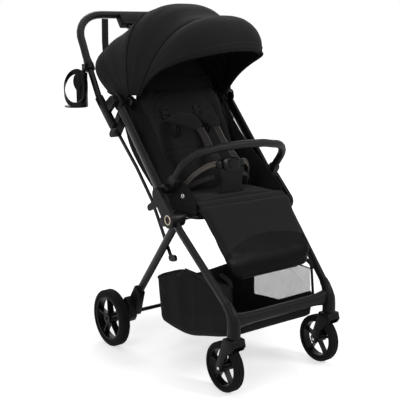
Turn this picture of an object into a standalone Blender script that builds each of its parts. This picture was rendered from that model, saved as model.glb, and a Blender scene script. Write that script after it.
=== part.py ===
"""Compact stroller: aluminium frame, sewn seat, three-bow canopy, basket, two casters, two rear wheels.

Metres, +Z up, ground at Z 0. The stroller faces -Y, and its own left side is +X.
Shapes are written round the hub in design coordinates, and the last step moves the whole
stroller so that its bounding box stands centred on the origin.
"""

import math

import bmesh
import bpy
import numpy as np
from mathutils import Matrix, Vector

# Clearances
GAP = 0.0003
PIN_CLEARANCE = 0.0005
SLIDE_CLEARANCE = 0.0006
LAYER_GAP = 0.001

# Width of the seat, from which the side frames, the bumper bar and the handle are spaced
SEAT_HALF = 0.158

# Wheels
REAR_WHEEL_R = 0.087
REAR_WHEEL_WIDTH = 0.034
REAR_WHEEL_X = SEAT_HALF + 0.087
REAR_WHEEL_Y = 0.2335
FRONT_WHEEL_R = 0.069
FRONT_WHEEL_WIDTH = 0.032
FRONT_WHEEL_X = SEAT_HALF + 0.018
FRONT_WHEEL_Y = -0.2355
TYRE_DEPTH = 0.020
TYRE_FLAT = 0.012
TYRE_SEGMENTS = 40
SPOKES = 5
AXLE_R = 0.0045

# Casters
STEM_Y = -0.272
STEM_R = 0.008
STEM_LENGTH = 0.030
FORK_TOP_Z = 0.159
FORK_ARM = 0.0055
FORK_WHEEL_CLEARANCE = 0.0014

# Side frames, with X layers measured from the middle of the stroller
HUB_Y = -0.042
HUB_Z = 0.441
UPPER_ANGLE = math.radians(47.4)
UPPER_LENGTH = 0.417
TUBE_DEPTH = 0.034
TUBE_WIDTH = 0.017
TUBE_X = SEAT_HALF + 0.045
REAR_LEG_ANGLE = math.radians(-51.8)
REAR_LEG_LENGTH = 0.322
REAR_LEG_X = TUBE_X - 0.017
REAR_LEG_WIDTH = 0.0155
REAR_LEG_DEPTH = 0.026
AXLE_BAR = (0.178, 0.112)
AXLE_BAR_R = 0.006
HUB_DISC_R = 0.0215
HUB_PIN_R = 0.005
FRONT_LEG_DEPTH = 0.025
FRONT_LEG_WIDTH = 0.0165
FRONT_LEG_FOOT = (TUBE_X - 0.0235, -0.243, 0.246)
COVER_THICKNESS = 0.0118
RING_R = 0.0145
STAY_X = TUBE_X - 0.0325
STAY_WIDTH = 0.007
STAY_DEPTH = 0.013
STAY_LINE = ((0.294, 0.641), (0.193, 0.549), (0.115, 0.465), (0.064, 0.385), (0.018, 0.312))

# Front frame
CROSSBAR_Z = 0.2005
CROSSBAR_Y = -0.262
CROSSBAR_HEIGHT = 0.031
CROSSBAR_DEPTH = 0.026

# Handle
SLEEVE_X = TUBE_X + 0.019
SLEEVE_WIDTH = 0.019
SLEEVE_DEPTH = 0.0236
SLEEVE_FOOT = (0.230, 0.667)
SLEEVE_TOP = (0.318, 0.754)
HANDLE_ANGLE = math.radians(53.3)
HANDLE_LENGTH = 0.303
HANDLE_TUBE_R = 0.0095
GRIP_R = 0.012
GRIP_START = 0.130
GRIP_HALF_WIDTH = SLEEVE_X - 0.015
HANDLE_LEAN = 0.0657
CORNER_R = 0.105
FOLD_HOUSING_HALF = 0.042
FOLD_HOUSING_DEPTH = 0.030
FOLD_HOUSING_DROP = 0.044
TRIGGER_HALF = 0.021
TRIGGER_DEPTH = 0.014
TRIGGER_TRAVEL = 0.012
SAFETY_R = 0.007
SAFETY_TRAVEL = 0.003

# Seat
SEAT_FRONT_Y = -0.084
SEAT_REAR_Y = 0.072
SEAT_TOP_Z = 0.486
SLING = 0.002
WING_THICKNESS = 0.0026
WING_OUTLINE = (
    (0.0595, 0.4525),
    (0.171, 0.683),
    (0.113, 0.633),
    (0.075, 0.604),
    (0.037, 0.579),
    (-0.010, 0.548),
    (-0.064, 0.510),
    (-0.084, 0.496),
    (-0.084, 0.4525),
)
RAIL_X = SEAT_HALF - 0.008
RAIL_Z = 0.444
RAIL_R = 0.008
CROSS_TUBE_R = 0.009
BUCKLE = (-0.0365, 0.574)
BACK_PIVOT = (0.085, 0.455)
BACK_ANGLE = math.radians(63)
BACK_HALF = SEAT_HALF + 0.008
STRAP_PIVOT = (-0.0405, 0.488)
BACK_HEIGHT = 0.360
BACK_THICKNESS = 0.026

# Bumper bar
BUMPER_PIVOT = (0.002, 0.520)
BUMPER_ANGLE = math.radians(128.5)
BUMPER_REACH = 0.150
BUMPER_X = TUBE_X - 0.021
BUMPER_FITTING = (TUBE_X - 0.0285, TUBE_X - 0.0093)
BUMPER_R = 0.012
BUMPER_END_R = 0.0155
BUMPER_BUTTON_R = 0.006
BUMPER_BUTTON_TRAVEL = 0.0025

# Canopy
CANOPY_PIVOT = (0.1976, 0.7445)
CANOPY_SHELL = 0.0026
CANOPY_START = 0.020

# Leg rest
LEG_PIVOT = (-0.0949, 0.4638)
LEG_ANGLE = math.radians(232)
LEG_LENGTH = 0.1713
LEG_PAD_RISE = 0.0097
LEG_LUG_X = (RAIL_X - 0.0105, RAIL_X - 0.0060)

# Basket
BASKET_WALL = 0.003

# Cup holder
CUP_CLAMP_X = SLEEVE_X + 0.0115
CUP_CENTRE = (-CUP_CLAMP_X - 0.0365, 0.370)
CUP_R = 0.036
CUP_WALL = 0.0026
CUP_BOTTOM_Z = 0.722
CUP_TOP_Z = 0.834
CLAMP_S = 0.1065


def clear_scene():
    for obj in list(bpy.data.objects):
        bpy.data.objects.remove(obj, do_unlink=True)


def material(name, colour, roughness, metallic=0.0):
    mat = bpy.data.materials.new(name)
    mat.use_nodes = True
    shader = mat.node_tree.nodes["Principled BSDF"]
    shader.inputs["Base Color"].default_value = (*colour, 1.0)
    shader.inputs["Roughness"].default_value = roughness
    shader.inputs["Metallic"].default_value = metallic
    return mat


COLOURS = {
    "tube": ((0.030, 0.030, 0.032), 0.38, 0.6),
    "plastic": ((0.016, 0.016, 0.017), 0.55, 0.0),
    "tyre": ((0.020, 0.020, 0.021), 0.80, 0.0),
    "fabric": ((0.024, 0.024, 0.026), 0.95, 0.0),
    "leather": ((0.014, 0.014, 0.015), 0.35, 0.0),
    "webbing": ((0.020, 0.019, 0.018), 0.85, 0.0),
    "ring": ((0.330, 0.285, 0.225), 0.35, 0.8),
    "button": ((0.050, 0.050, 0.052), 0.45, 0.0),
}

EMPTIES = {}


def body(name, location, parent="stroller"):
    """An empty on the joint axis of a moving body, in design coordinates."""
    empty = bpy.data.objects.new(name + "_body", None)
    bpy.context.scene.collection.objects.link(empty)
    above = EMPTIES.get(parent)
    if above:
        empty.parent = above
        empty.location = Vector(location) - Vector(above["design_origin"])
    else:
        empty.location = location
    empty["design_origin"] = tuple(location)
    EMPTIES[name] = empty
    return empty


def add(name, bm, look, owner):
    """Makes the node from a bmesh in design coordinates and hangs it on its body's empty."""
    bmesh.ops.recalc_face_normals(bm, faces=bm.faces)
    mesh = bpy.data.meshes.new(name)
    empty = EMPTIES[owner]
    bmesh.ops.translate(bm, verts=bm.verts, vec=-Vector(empty["design_origin"]))
    bm.to_mesh(mesh)
    bm.free()
    obj = bpy.data.objects.new(name, mesh)
    bpy.context.scene.collection.objects.link(obj)
    obj.parent = empty
    mesh.materials.append(material(name, *COLOURS[look]))
    return obj


def helper(name, bm, owner):
    """A cutter or an added lump: it takes part in a Boolean and isn't a node."""
    obj = add(name, bm, "plastic", owner)
    obj.hide_render = True
    obj.display_type = "WIRE"
    return obj


def boolean(obj, other, operation="DIFFERENCE"):
    mod = obj.modifiers.new(operation.title(), "BOOLEAN")
    mod.object = other
    mod.operation = operation
    mod.solver = "EXACT"


def bevel(obj, width, segments=2, angle=35.0):
    mod = obj.modifiers.new("Bevel", "BEVEL")
    mod.width = width
    mod.segments = segments
    mod.limit_method = "ANGLE"
    mod.angle_limit = math.radians(angle)


def skin(rings, closed=False):
    """A solid through rings of equally many points: a tube with filled ends, or a closed loop."""
    bm = bmesh.new()
    made = [[bm.verts.new(p) for p in ring] for ring in rings]
    count = len(made[0])
    spans = len(made) if closed else len(made) - 1
    for i in range(spans):
        low, high = made[i], made[(i + 1) % len(made)]
        for j in range(count):
            k = (j + 1) % count
            bm.faces.new((low[j], low[k], high[k], high[j]))
    if not closed:
        bm.faces.new(made[0][::-1])
        bm.faces.new(made[-1])
    return bm


def lathe(profile, centre, segments, phase=0.5):
    """Turns a closed profile of (x, radius) points about the X axis line through the centre."""
    cx, cy, cz = centre
    rings = []
    for i in range(segments):
        turn = 2 * math.pi * (i + phase) / segments
        rings.append(
            [
                (cx + x, cy + r * math.cos(turn), cz + r * math.sin(turn))
                for x, r in profile
            ]
        )
    return skin(rings, closed=True)


def cylinder(start, end, radius, segments=20, end_radius=None):
    start, end = Vector(start), Vector(end)
    axis = (end - start).normalized()
    side = axis.orthogonal().normalized()
    other = axis.cross(side)
    last = radius if end_radius is None else end_radius
    rings = []
    for point, r in ((start, radius), (end, last)):
        rings.append(
            [
                point
                + side * r * math.cos(2 * math.pi * (i + 0.5) / segments)
                + other * r * math.sin(2 * math.pi * (i + 0.5) / segments)
                for i in range(segments)
            ]
        )
    return skin(rings)


def box(low, high):
    bm = bmesh.new()
    bmesh.ops.create_cube(bm, size=1.0)
    low, high = Vector(low), Vector(high)
    for v in bm.verts:
        v.co = Vector(
            [
                low[i] + (high[i] - low[i]) * (v.co[i] + 0.5)
                for i in range(3)
            ]
        )
    return bm


def plate(outline, x0, x1):
    """A flat plate: a polygon of (y, z) points between two X planes."""
    return skin([[(x, y, z) for y, z in outline] for x in (x0, x1)])


def capsule(a, b, radius_a, radius_b=None, steps=8):
    """The (y, z) outline of a bar with round ends."""
    radius_b = radius_a if radius_b is None else radius_b
    a, b = np.array(a, float), np.array(b, float)
    angle = math.atan2(b[1] - a[1], b[0] - a[0])
    points = []
    for centre, r, first in ((a, radius_a, 90), (b, radius_b, -90)):
        for i in range(steps + 1):
            turn = angle + math.radians(first + 180 * i / steps)
            points.append(
                (centre[0] + r * math.cos(turn), centre[1] + r * math.sin(turn))
            )
    return points


def rounded(points, radii, steps=5):
    """A polyline in space with each inner corner replaced by an arc of about that radius."""
    points = [Vector(p) for p in points]
    path = [points[0]]
    for i in range(1, len(points) - 1):
        before = (points[i - 1] - points[i]).normalized()
        after = (points[i + 1] - points[i]).normalized()
        radius = radii if isinstance(radii, (int, float)) else radii[i - 1]
        half = before.angle(after) / 2
        reach = radius / math.tan(half)
        first = points[i] + before * reach
        last = points[i] + after * reach
        centre = points[i] + (before + after).normalized() * (radius / math.sin(half))
        for k in range(steps + 1):
            share = k / steps
            total = (first - centre).angle(last - centre)
            a = math.sin((1 - share) * total) / math.sin(total)
            b = math.sin(share * total) / math.sin(total)
            path.append(centre + (first - centre) * a + (last - centre) * b)
    path.append(points[-1])
    return path


def sweep(path, width, depth, across=(1, 0, 0), sides=12, power=2.0):
    """Sweeps an oval along a path. Width lies along the across direction, depth at right angles."""
    path = [Vector(p) for p in path]
    count = len(path)
    widths = width if isinstance(width, (list, tuple)) else [width] * count
    depths = depth if isinstance(depth, (list, tuple)) else [depth] * count
    rings = []
    for i, point in enumerate(path):
        if i == 0:
            along = path[1] - path[0]
        elif i == count - 1:
            along = path[-1] - path[-2]
        else:
            first = (path[i] - path[i - 1]).normalized()
            second = (path[i + 1] - path[i]).normalized()
            along = first + second
        along.normalize()
        out = Vector(across) - along * along.dot(Vector(across))
        out.normalize()
        up = along.cross(out)
        ring = []
        for k in range(sides):
            turn = 2 * math.pi * (k + 0.5) / sides
            c, s = math.cos(turn), math.sin(turn)
            c = math.copysign(abs(c) ** (2 / power), c)
            s = math.copysign(abs(s) ** (2 / power), s)
            ring.append(point + out * (widths[i] / 2 * c) + up * (depths[i] / 2 * s))
        rings.append(ring)
    return skin(rings)


def round_sweep(path, radius, sides=12):
    """A round bar along a path that may leave one plane: the section is carried along without twist."""
    path = [Vector(p) for p in path]
    tangents = []
    for i in range(len(path)):
        a = path[max(i - 1, 0)]
        b = path[min(i + 1, len(path) - 1)]
        tangents.append((b - a).normalized())
    out = tangents[0].orthogonal().normalized()
    rings = []
    for i, point in enumerate(path):
        if i:
            turn = tangents[i - 1].rotation_difference(tangents[i])
            out = turn @ out
        up = tangents[i].cross(out)
        r = radius[i] if isinstance(radius, (list, tuple)) else radius
        rings.append(
            [
                point
                + out * r * math.cos(2 * math.pi * (k + 0.5) / sides)
                + up * r * math.sin(2 * math.pi * (k + 0.5) / sides)
                for k in range(sides)
            ]
        )
    return skin(rings)


def cushion(origin, u_axis, v_axis, out_axis, outline, thickness, crown, channels=()):
    """A sewn pad: a grid of (u, v) stations on a plane, with a crowned face, drawn-in sides and sunk seams.

    outline gives, for each v station, (v, half width). The back face lies on the plane.
    """
    bm = bmesh.new()
    origin = Vector(origin)
    u_axis, v_axis, out_axis = Vector(u_axis), Vector(v_axis), Vector(out_axis)
    columns = (-1.0, -0.94, -0.8, -0.55, -0.28, 0.0, 0.28, 0.55, 0.8, 0.94, 1.0)
    low_v, high_v = outline[0][0], outline[-1][0]
    front, back = [], []
    for v, half in outline:
        along = (v - low_v) / (high_v - low_v)
        rise_v = min(1.0, max(0.0, min(along, 1 - along) / 0.10)) ** 0.5
        sunk = 0.0
        for seam in channels:
            sunk = max(sunk, math.exp(-(((v - seam) / 0.006) ** 2)))
        row_front, row_back = [], []
        for u in columns:
            rise_u = min(1.0, (1 - abs(u)) / 0.22) ** 0.5
            swell = rise_u * rise_v * (1 - 0.35 * sunk)
            height = thickness * (0.42 + 0.40 * swell) + crown * swell * (1 - u * u)
            foot = thickness * 0.30 * (1 - rise_u * rise_v)
            base = origin + u_axis * (half * u) + v_axis * v
            row_front.append(bm.verts.new(base + out_axis * height))
            row_back.append(bm.verts.new(base + out_axis * foot))
        front.append(row_front)
        back.append(row_back)
    rows, cols = len(front), len(columns)
    for i in range(rows - 1):
        for j in range(cols - 1):
            bm.faces.new((front[i][j], front[i][j + 1], front[i + 1][j + 1], front[i + 1][j]))
            bm.faces.new((back[i][j], back[i + 1][j], back[i + 1][j + 1], back[i][j + 1]))
    edge_front = [front[0][j] for j in range(cols)]
    edge_front += [front[i][-1] for i in range(1, rows)]
    edge_front += [front[-1][j] for j in range(cols - 2, -1, -1)]
    edge_front += [front[i][0] for i in range(rows - 2, 0, -1)]
    edge_back = [back[0][j] for j in range(cols)]
    edge_back += [back[i][-1] for i in range(1, rows)]
    edge_back += [back[-1][j] for j in range(cols - 2, -1, -1)]
    edge_back += [back[i][0] for i in range(rows - 2, 0, -1)]
    for k in range(len(edge_front)):
        n = (k + 1) % len(edge_front)
        bm.faces.new((edge_front[k], edge_back[k], edge_back[n], edge_front[n]))
    return bm


def stations(low, high, half_low, half_high, corner_low, corner_high, seams=()):
    """(v, half width) rows of a pad whose corners are rounded and whose sides may taper."""
    values = set()
    for corner, end, sign in ((corner_low, low, 1), (corner_high, high, -1)):
        for share in (0.0, 0.06, 0.2, 0.45, 1.0):
            values.add(end + sign * corner * share)
    for share in (0.3, 0.5, 0.7):
        values.add(low + (high - low) * share)
    for seam in seams:
        values |= {seam - 0.008, seam, seam + 0.008}
    rows = []
    for v in sorted(values):
        along = (v - low) / (high - low)
        half = half_low + (half_high - half_low) * along
        for corner, end, sign in ((corner_low, low, 1), (corner_high, high, -1)):
            inset = corner - (v - end) * sign
            if inset > 0:
                half -= corner - math.sqrt(max(corner * corner - inset * inset, 0.0))
        rows.append((v, half))
    return rows


def along_upper(distance, forward=0.0):
    """(y, z) on the upper tube's axis at a distance from the hub, moved forward of the tube."""
    c, s = math.cos(UPPER_ANGLE), math.sin(UPPER_ANGLE)
    return (HUB_Y + distance * c - forward * s, HUB_Z + distance * s + forward * c)


def along_rear(distance, behind=0.0):
    c, s = math.cos(REAR_LEG_ANGLE), math.sin(REAR_LEG_ANGLE)
    return (HUB_Y + distance * c - behind * s, HUB_Z + distance * s + behind * c)


def handle_point(x, s, out=0.0):
    """A point of the handle's plane: s up from the sleeves' top, out behind the plane."""
    c, d = math.cos(HANDLE_ANGLE), math.sin(HANDLE_ANGLE)
    return Vector(
        (x, SLEEVE_TOP[0] + s * c + out * d, SLEEVE_TOP[1] + s * d - out * c)
    )


def side_name(stem, s):
    return stem + ("_right" if s < 0 else "_left")


def make_bodies():
    body("stroller", (0, 0, 0), None)
    body("upper_frame", (0, HUB_Y, HUB_Z))
    body("rear_legs", (0, HUB_Y, HUB_Z))
    top = along_upper(UPPER_LENGTH)
    body("handle", (0, *top), "upper_frame")
    body("fold_trigger", handle_point(0, HANDLE_LENGTH - FOLD_HOUSING_DROP), "handle")
    body("safety_button", handle_point(0, HANDLE_LENGTH - 0.030), "handle")
    body("backrest", (0, *BACK_PIVOT), "upper_frame")
    body("bumper", (0, *BUMPER_PIVOT), "upper_frame")
    body("canopy_middle", (0, *CANOPY_PIVOT), "upper_frame")
    body("canopy_front", (0, *CANOPY_PIVOT), "canopy_middle")
    body("leg_rest", (0, *LEG_PIVOT))
    body("crotch_strap", (0, *STRAP_PIVOT))
    body("buckle_button", (0, *BUCKLE), "crotch_strap")
    body("brake_pedal", (0, *AXLE_BAR), "rear_legs")
    body("cup_holder", (-CUP_CLAMP_X + 0.0015, *handle_point(0, CLAMP_S)[1:]), "handle")
    for s in (-1, 1):
        body(side_name("rear_wheel", s), (s * REAR_WHEEL_X, REAR_WHEEL_Y, REAR_WHEEL_R), "rear_legs")
        body(side_name("caster", s), (s * FRONT_WHEEL_X, STEM_Y, FORK_TOP_Z))
        body(
            side_name("front_wheel", s),
            (s * FRONT_WHEEL_X, FRONT_WHEEL_Y, FRONT_WHEEL_R),
            side_name("caster", s),
        )
        body(side_name("bumper_button", s), (s * BUMPER_X, *BUMPER_PIVOT), "bumper")


def make_wheel(stem, s, centre, radius, width, owner):
    """A tyre on a five-spoked rim. The tyre's facets are laid so that one is flat on the ground."""
    outer = radius / math.cos(math.pi / TYRE_SEGMENTS)
    half = width / 2
    inner = radius - TYRE_DEPTH
    tyre = [
        (-half + 0.0020, inner),
        (-half, outer - 0.0105),
        (-half + 0.0035, outer - 0.0040),
        (-TYRE_FLAT / 2, outer),
        (TYRE_FLAT / 2, outer),
        (half - 0.0035, outer - 0.0040),
        (half, outer - 0.0105),
        (half - 0.0020, inner),
    ]
    phase = 0.5 if TYRE_SEGMENTS % 4 == 0 else 0.0
    bm = lathe(tyre, centre, TYRE_SEGMENTS, phase)
    add(side_name(stem + "_tyre", s), bm, "tyre", owner)
    rim_outer = inner * math.cos(math.pi / TYRE_SEGMENTS) - GAP
    bore = AXLE_R + PIN_CLEARANCE
    outside = s * (half + 0.001) if stem == "rear" else half - 0.002
    inside = -s * (half - 0.002) if stem == "rear" else -(half - 0.002)
    cap = s * (half - 0.004)
    low, high = min(outside, inside), max(outside, inside)
    web = 0.005
    rim = [
        (low, bore),
        (high, bore),
        (high, 0.0125),
        (web, 0.0150),
        (web, rim_outer - 0.0095),
        (half - 0.0045, rim_outer - 0.0060),
        (half - 0.0045, rim_outer),
        (-half + 0.0045, rim_outer),
        (-half + 0.0045, rim_outer - 0.0060),
        (-web, rim_outer - 0.0095),
        (-web, 0.0150),
        (low, 0.0125),
    ]
    rim_obj = add(side_name(stem + "_rim", s), lathe(rim, centre, 30), "plastic", owner)
    cutter = bmesh.new()
    near, far = 0.0185, rim_outer - 0.0115
    for i in range(SPOKES):
        middle = 2 * math.pi * (i + 0.25) / SPOKES
        spread = math.pi / SPOKES
        thick_near, thick_far = 0.0042 / near, 0.0032 / far
        corners = []
        for r, inset in ((near, thick_near), (far, thick_far)):
            for k in (-1, 0, 1):
                turn = middle + k * (spread - inset)
                corners.append((r, turn))
        order = corners[:3] + corners[:2:-1]
        loops = []
        for x in (-width, width):
            loop = []
            for r, turn in order:
                loop.append(
                    cutter.verts.new(
                        (
                            centre[0] + x,
                            centre[1] + r * math.cos(turn),
                            centre[2] + r * math.sin(turn),
                        )
                    )
                )
            loops.append(loop)
        cutter.faces.new(loops[0])
        cutter.faces.new(loops[1][::-1])
        for k in range(len(order)):
            n = (k + 1) % len(order)
            cutter.faces.new((loops[0][n], loops[0][k], loops[1][k], loops[1][n]))
    boolean(rim_obj, helper(side_name(stem + "_windows", s), cutter, owner))
    return cap


def make_rear_wheels():
    for s in (-1, 1):
        centre = (s * REAR_WHEEL_X, REAR_WHEEL_Y, REAR_WHEEL_R)
        make_wheel("rear", s, centre, REAR_WHEEL_R, REAR_WHEEL_WIDTH, side_name("rear_wheel", s))


def make_casters():
    for s in (-1, 1):
        owner = side_name("caster", s)
        centre = (s * FRONT_WHEEL_X, FRONT_WHEEL_Y, FRONT_WHEEL_R)
        make_wheel("front", s, centre, FRONT_WHEEL_R, FRONT_WHEEL_WIDTH, side_name("front_wheel", s))
        slot = FRONT_WHEEL_WIDTH / 2 + FORK_WHEEL_CLEARANCE
        half = slot + FORK_ARM
        y, z = FRONT_WHEEL_Y, FRONT_WHEEL_R
        top = FORK_TOP_Z
        outline = [
            (STEM_Y - 0.0185, top),
            (STEM_Y + 0.0185, top),
            (STEM_Y + 0.0225, top - 0.012),
            (y + 0.0125, z + 0.004),
            (y + 0.0085, z - 0.0095),
            (y, z - 0.0130),
            (y - 0.0085, z - 0.0095),
            (y - 0.0150, z + 0.010),
            (STEM_Y + 0.002, z + 0.048),
            (STEM_Y - 0.016, z + 0.058),
            (STEM_Y - 0.024, z + 0.070),
        ]
        x = s * FRONT_WHEEL_X
        fork = add(side_name("caster_fork", s), plate(outline, x - half, x + half), "plastic", owner)
        slot_top = FRONT_WHEEL_R * 2 + 0.003
        cut = box((x - slot, STEM_Y - 0.06, 0.0), (x + slot, y + 0.06, slot_top))
        bevel(fork, 0.0022, 2, 50)
        boolean(fork, helper(side_name("fork_slot", s), cut, owner))
        axle = cylinder((x - slot - 0.003, y, z), (x + slot + 0.003, y, z), AXLE_R, 16)
        boolean(fork, helper(side_name("fork_axle", s), axle, owner), "UNION")
        stem = cylinder((x, STEM_Y, top - 0.006), (x, STEM_Y, top + STEM_LENGTH), STEM_R, 20)
        boolean(fork, helper(side_name("fork_stem", s), stem, owner), "UNION")


def make_front_frame():
    """The moulded front end: a crossbar that flares into two corners, and the caster sockets."""
    foot_x, foot_y, foot_z = FRONT_LEG_FOOT
    leg = Vector((foot_x - TUBE_X, (foot_y - HUB_Y) * 0.84, (foot_z - HUB_Z) * 0.84)).normalized()
    bar = []
    widths, heights = [], []
    for x, depth, height in (
        (-FRONT_WHEEL_X + 0.004, 0.028, 0.050),
        (-FRONT_WHEEL_X + 0.020, 0.028, 0.041),
        (-FRONT_WHEEL_X + 0.042, 0.027, 0.034),
        (-0.100, CROSSBAR_DEPTH, CROSSBAR_HEIGHT),
        (0.100, CROSSBAR_DEPTH, CROSSBAR_HEIGHT),
        (FRONT_WHEEL_X - 0.042, 0.027, 0.034),
        (FRONT_WHEEL_X - 0.020, 0.028, 0.041),
        (FRONT_WHEEL_X - 0.004, 0.028, 0.050),
    ):
        bar.append((x, CROSSBAR_Y, CROSSBAR_Z))
        widths.append(depth)
        heights.append(height)
    frame = add("front_frame", sweep(bar, widths, heights, (0, 1, 0), 16, 2.8), "plastic", "stroller")
    for s in (-1, 1):
        down = Vector((s * leg.x, leg.y, leg.z))
        start = Vector((s * foot_x, foot_y, foot_z)) + down * GAP
        path = [
            start,
            start + down * 0.016,
            (s * FRONT_WHEEL_X, -0.2655, 0.2170),
            (s * FRONT_WHEEL_X, -0.2710, 0.2020),
            (s * FRONT_WHEEL_X, STEM_Y, 0.1860),
            (s * FRONT_WHEEL_X, STEM_Y, FORK_TOP_Z + LAYER_GAP),
        ]
        across = [0.0195, 0.0215, 0.0265, 0.0295, 0.031, 0.0315]
        along = [0.027, 0.029, 0.0335, 0.036, 0.037, 0.0375]
        corner = sweep(path, across, along, (1, 0, 0), 16, 2.6)
        boolean(frame, helper(side_name("front_corner", s), corner, "stroller"), "UNION")
        socket = cylinder(
            (s * FRONT_WHEEL_X, STEM_Y, FORK_TOP_Z - 0.01),
            (s * FRONT_WHEEL_X, STEM_Y, FORK_TOP_Z + STEM_LENGTH + 0.001),
            STEM_R + PIN_CLEARANCE,
            20,
        )
        boolean(frame, helper(side_name("stem_socket", s), socket, "stroller"))


def make_front_legs():
    """Oval legs from the hubs to the front frame, each with its hub plate and the hub pin."""
    foot_x, foot_y, foot_z = FRONT_LEG_FOOT
    for s in (-1, 1):
        top = Vector((s * TUBE_X, HUB_Y, HUB_Z))
        foot = Vector((s * foot_x, foot_y, foot_z))
        straight = top + (Vector((s * TUBE_X, foot_y, foot_z)) - top).normalized() * 0.045
        leg = add(
            side_name("front_leg", s),
            sweep([top, straight, foot], FRONT_LEG_WIDTH, FRONT_LEG_DEPTH, (1, 0, 0), 14, 2.4),
            "tube",
            "stroller",
        )
        inner, outer = s * (TUBE_X - TUBE_WIDTH / 2), s * (TUBE_X + TUBE_WIDTH / 2)
        outline = capsule((HUB_Y, HUB_Z), (0.002, HUB_Z - 0.014), 0.0225, 0.0140)
        hub = plate(outline, min(inner, outer), max(inner, outer))
        boolean(leg, helper(side_name("front_hub", s), hub, "stroller"), "UNION")
        start = s * (REAR_LEG_X - REAR_LEG_WIDTH / 2 - 0.0012)
        end = s * (TUBE_X + TUBE_WIDTH / 2 + 0.0055)
        pin = cylinder((start, HUB_Y, HUB_Z), (end, HUB_Y, HUB_Z), HUB_PIN_R, 20)
        boolean(leg, helper(side_name("hub_pin", s), pin, "stroller"), "UNION")


def make_seat_frame():
    """A bent rail under the seat pad and the tube that carries it between the hub plates."""
    front = SEAT_FRONT_Y + RAIL_R
    rear = SEAT_REAR_Y - 0.006
    path = rounded(
        [
            (-RAIL_X, rear, RAIL_Z),
            (-RAIL_X, front, RAIL_Z),
            (RAIL_X, front, RAIL_Z),
            (RAIL_X, rear, RAIL_Z),
        ],
        0.030,
        5,
    )
    rail = add("seat_rail", round_sweep(path, RAIL_R, 12), "tube", "stroller")
    y, z = 0.002, RAIL_Z - RAIL_R - CROSS_TUBE_R + 0.003
    end = TUBE_X - TUBE_WIDTH / 2 - GAP
    cross = cylinder((-end, y, z), (end, y, z), CROSS_TUBE_R, 20)
    boolean(rail, helper("seat_cross_tube", cross, "stroller"), "UNION")
    for s in (-1, 1):
        low, high = (s * x for x in LEG_LUG_X)
        lug = plate(capsule((front, RAIL_Z), LEG_PIVOT, 0.0060, 0.0046), min(low, high), max(low, high))
        boolean(rail, helper(side_name("leg_lug", s), lug, "stroller"), "UNION")


def make_rear_legs():
    for s in (-1, 1):
        x = s * REAR_LEG_X
        start, end = along_rear(0.012), along_rear(REAR_LEG_LENGTH)
        leg = add(
            side_name("rear_leg", s),
            sweep([(x, *start), (x, *end)], REAR_LEG_WIDTH - 0.001, REAR_LEG_DEPTH, (1, 0, 0), 14, 2.4),
            "tube",
            "rear_legs",
        )
        low = x - REAR_LEG_WIDTH / 2
        disc = cylinder(
            (low, HUB_Y, HUB_Z), (low + REAR_LEG_WIDTH, HUB_Y, HUB_Z), HUB_DISC_R, 24
        )
        boolean(leg, helper(side_name("rear_hub", s), disc, "rear_legs"), "UNION")
        hole = cylinder(
            (low - 0.01, HUB_Y, HUB_Z),
            (low + REAR_LEG_WIDTH + 0.01, HUB_Y, HUB_Z),
            HUB_PIN_R + PIN_CLEARANCE,
            20,
        )
        boolean(leg, helper(side_name("rear_hub_hole", s), hole, "rear_legs"))
        make_rear_foot(s)
    y, z = AXLE_BAR
    end = REAR_LEG_X - REAR_LEG_WIDTH / 2 - LAYER_GAP - GAP
    bar = cylinder((-end, y, z), (end, y, z), AXLE_BAR_R, 16)
    add("rear_axle_bar", bar, "tube", "rear_legs")
    pedal_outline = capsule((y, z), (y + 0.052, z + 0.012), 0.0105, 0.0055)
    pedal = add("brake_pedal", plate(pedal_outline, -0.034, 0.034), "plastic", "brake_pedal")
    bevel(pedal, 0.0018, 2)
    hole = cylinder((-0.06, y, z), (0.06, y, z), AXLE_BAR_R + PIN_CLEARANCE, 16)
    boolean(pedal, helper("pedal_hole", hole, "brake_pedal"))


def make_rear_foot(s):
    """The moulded foot under each rear leg: leg socket, axle block set outwards, and the axle stub."""
    c, d = math.cos(REAR_LEG_ANGLE), math.sin(REAR_LEG_ANGLE)
    end = along_rear(REAR_LEG_LENGTH + GAP)
    half = REAR_LEG_DEPTH / 2 + 0.0025
    behind = (end[0] - half * d, end[1] + half * c)
    ahead = (end[0] + half * d, end[1] - half * c)
    inner = REAR_LEG_X - REAR_LEG_WIDTH / 2 - LAYER_GAP
    outer = REAR_LEG_X + REAR_LEG_WIDTH / 2 + 0.00775
    outline = [ahead, behind, (0.2010, 0.1500), (0.2060, 0.1180), (0.1900, 0.1000), (0.1700, 0.1020), (0.1610, 0.1300)]
    foot = add(
        side_name("rear_foot", s),
        plate(outline, min(s * inner, s * outer), max(s * inner, s * outer)),
        "plastic",
        "rear_legs",
    )
    bevel(foot, 0.0030, 2, 30)
    y, z = REAR_WHEEL_Y, REAR_WHEEL_R
    block_end = REAR_WHEEL_X - REAR_WHEEL_WIDTH / 2 - 0.0045
    block = plate(
        [
            (0.1660, 0.1420),
            (0.1920, 0.1600),
            (0.2080, 0.1420),
            (y + 0.0130, z + 0.0150),
            (y + 0.0160, z + 0.0020),
            (y + 0.0110, z - 0.0130),
            (y - 0.0050, z - 0.0180),
            (0.1790, 0.0830),
            (0.1690, 0.0970),
        ],
        min(s * (outer - 0.009), s * block_end),
        max(s * (outer - 0.009), s * block_end),
    )
    lump = helper(side_name("axle_block", s), block, "rear_legs")
    bevel(lump, 0.0030, 2, 30)
    boolean(foot, lump, "UNION")
    stub_end = s * (REAR_WHEEL_X + REAR_WHEEL_WIDTH / 2 - 0.002)
    stub = cylinder((s * (block_end - 0.0185), y, z), (stub_end, y, z), AXLE_R, 16)
    boolean(foot, helper(side_name("axle_stub", s), stub, "rear_legs"), "UNION")


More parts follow.
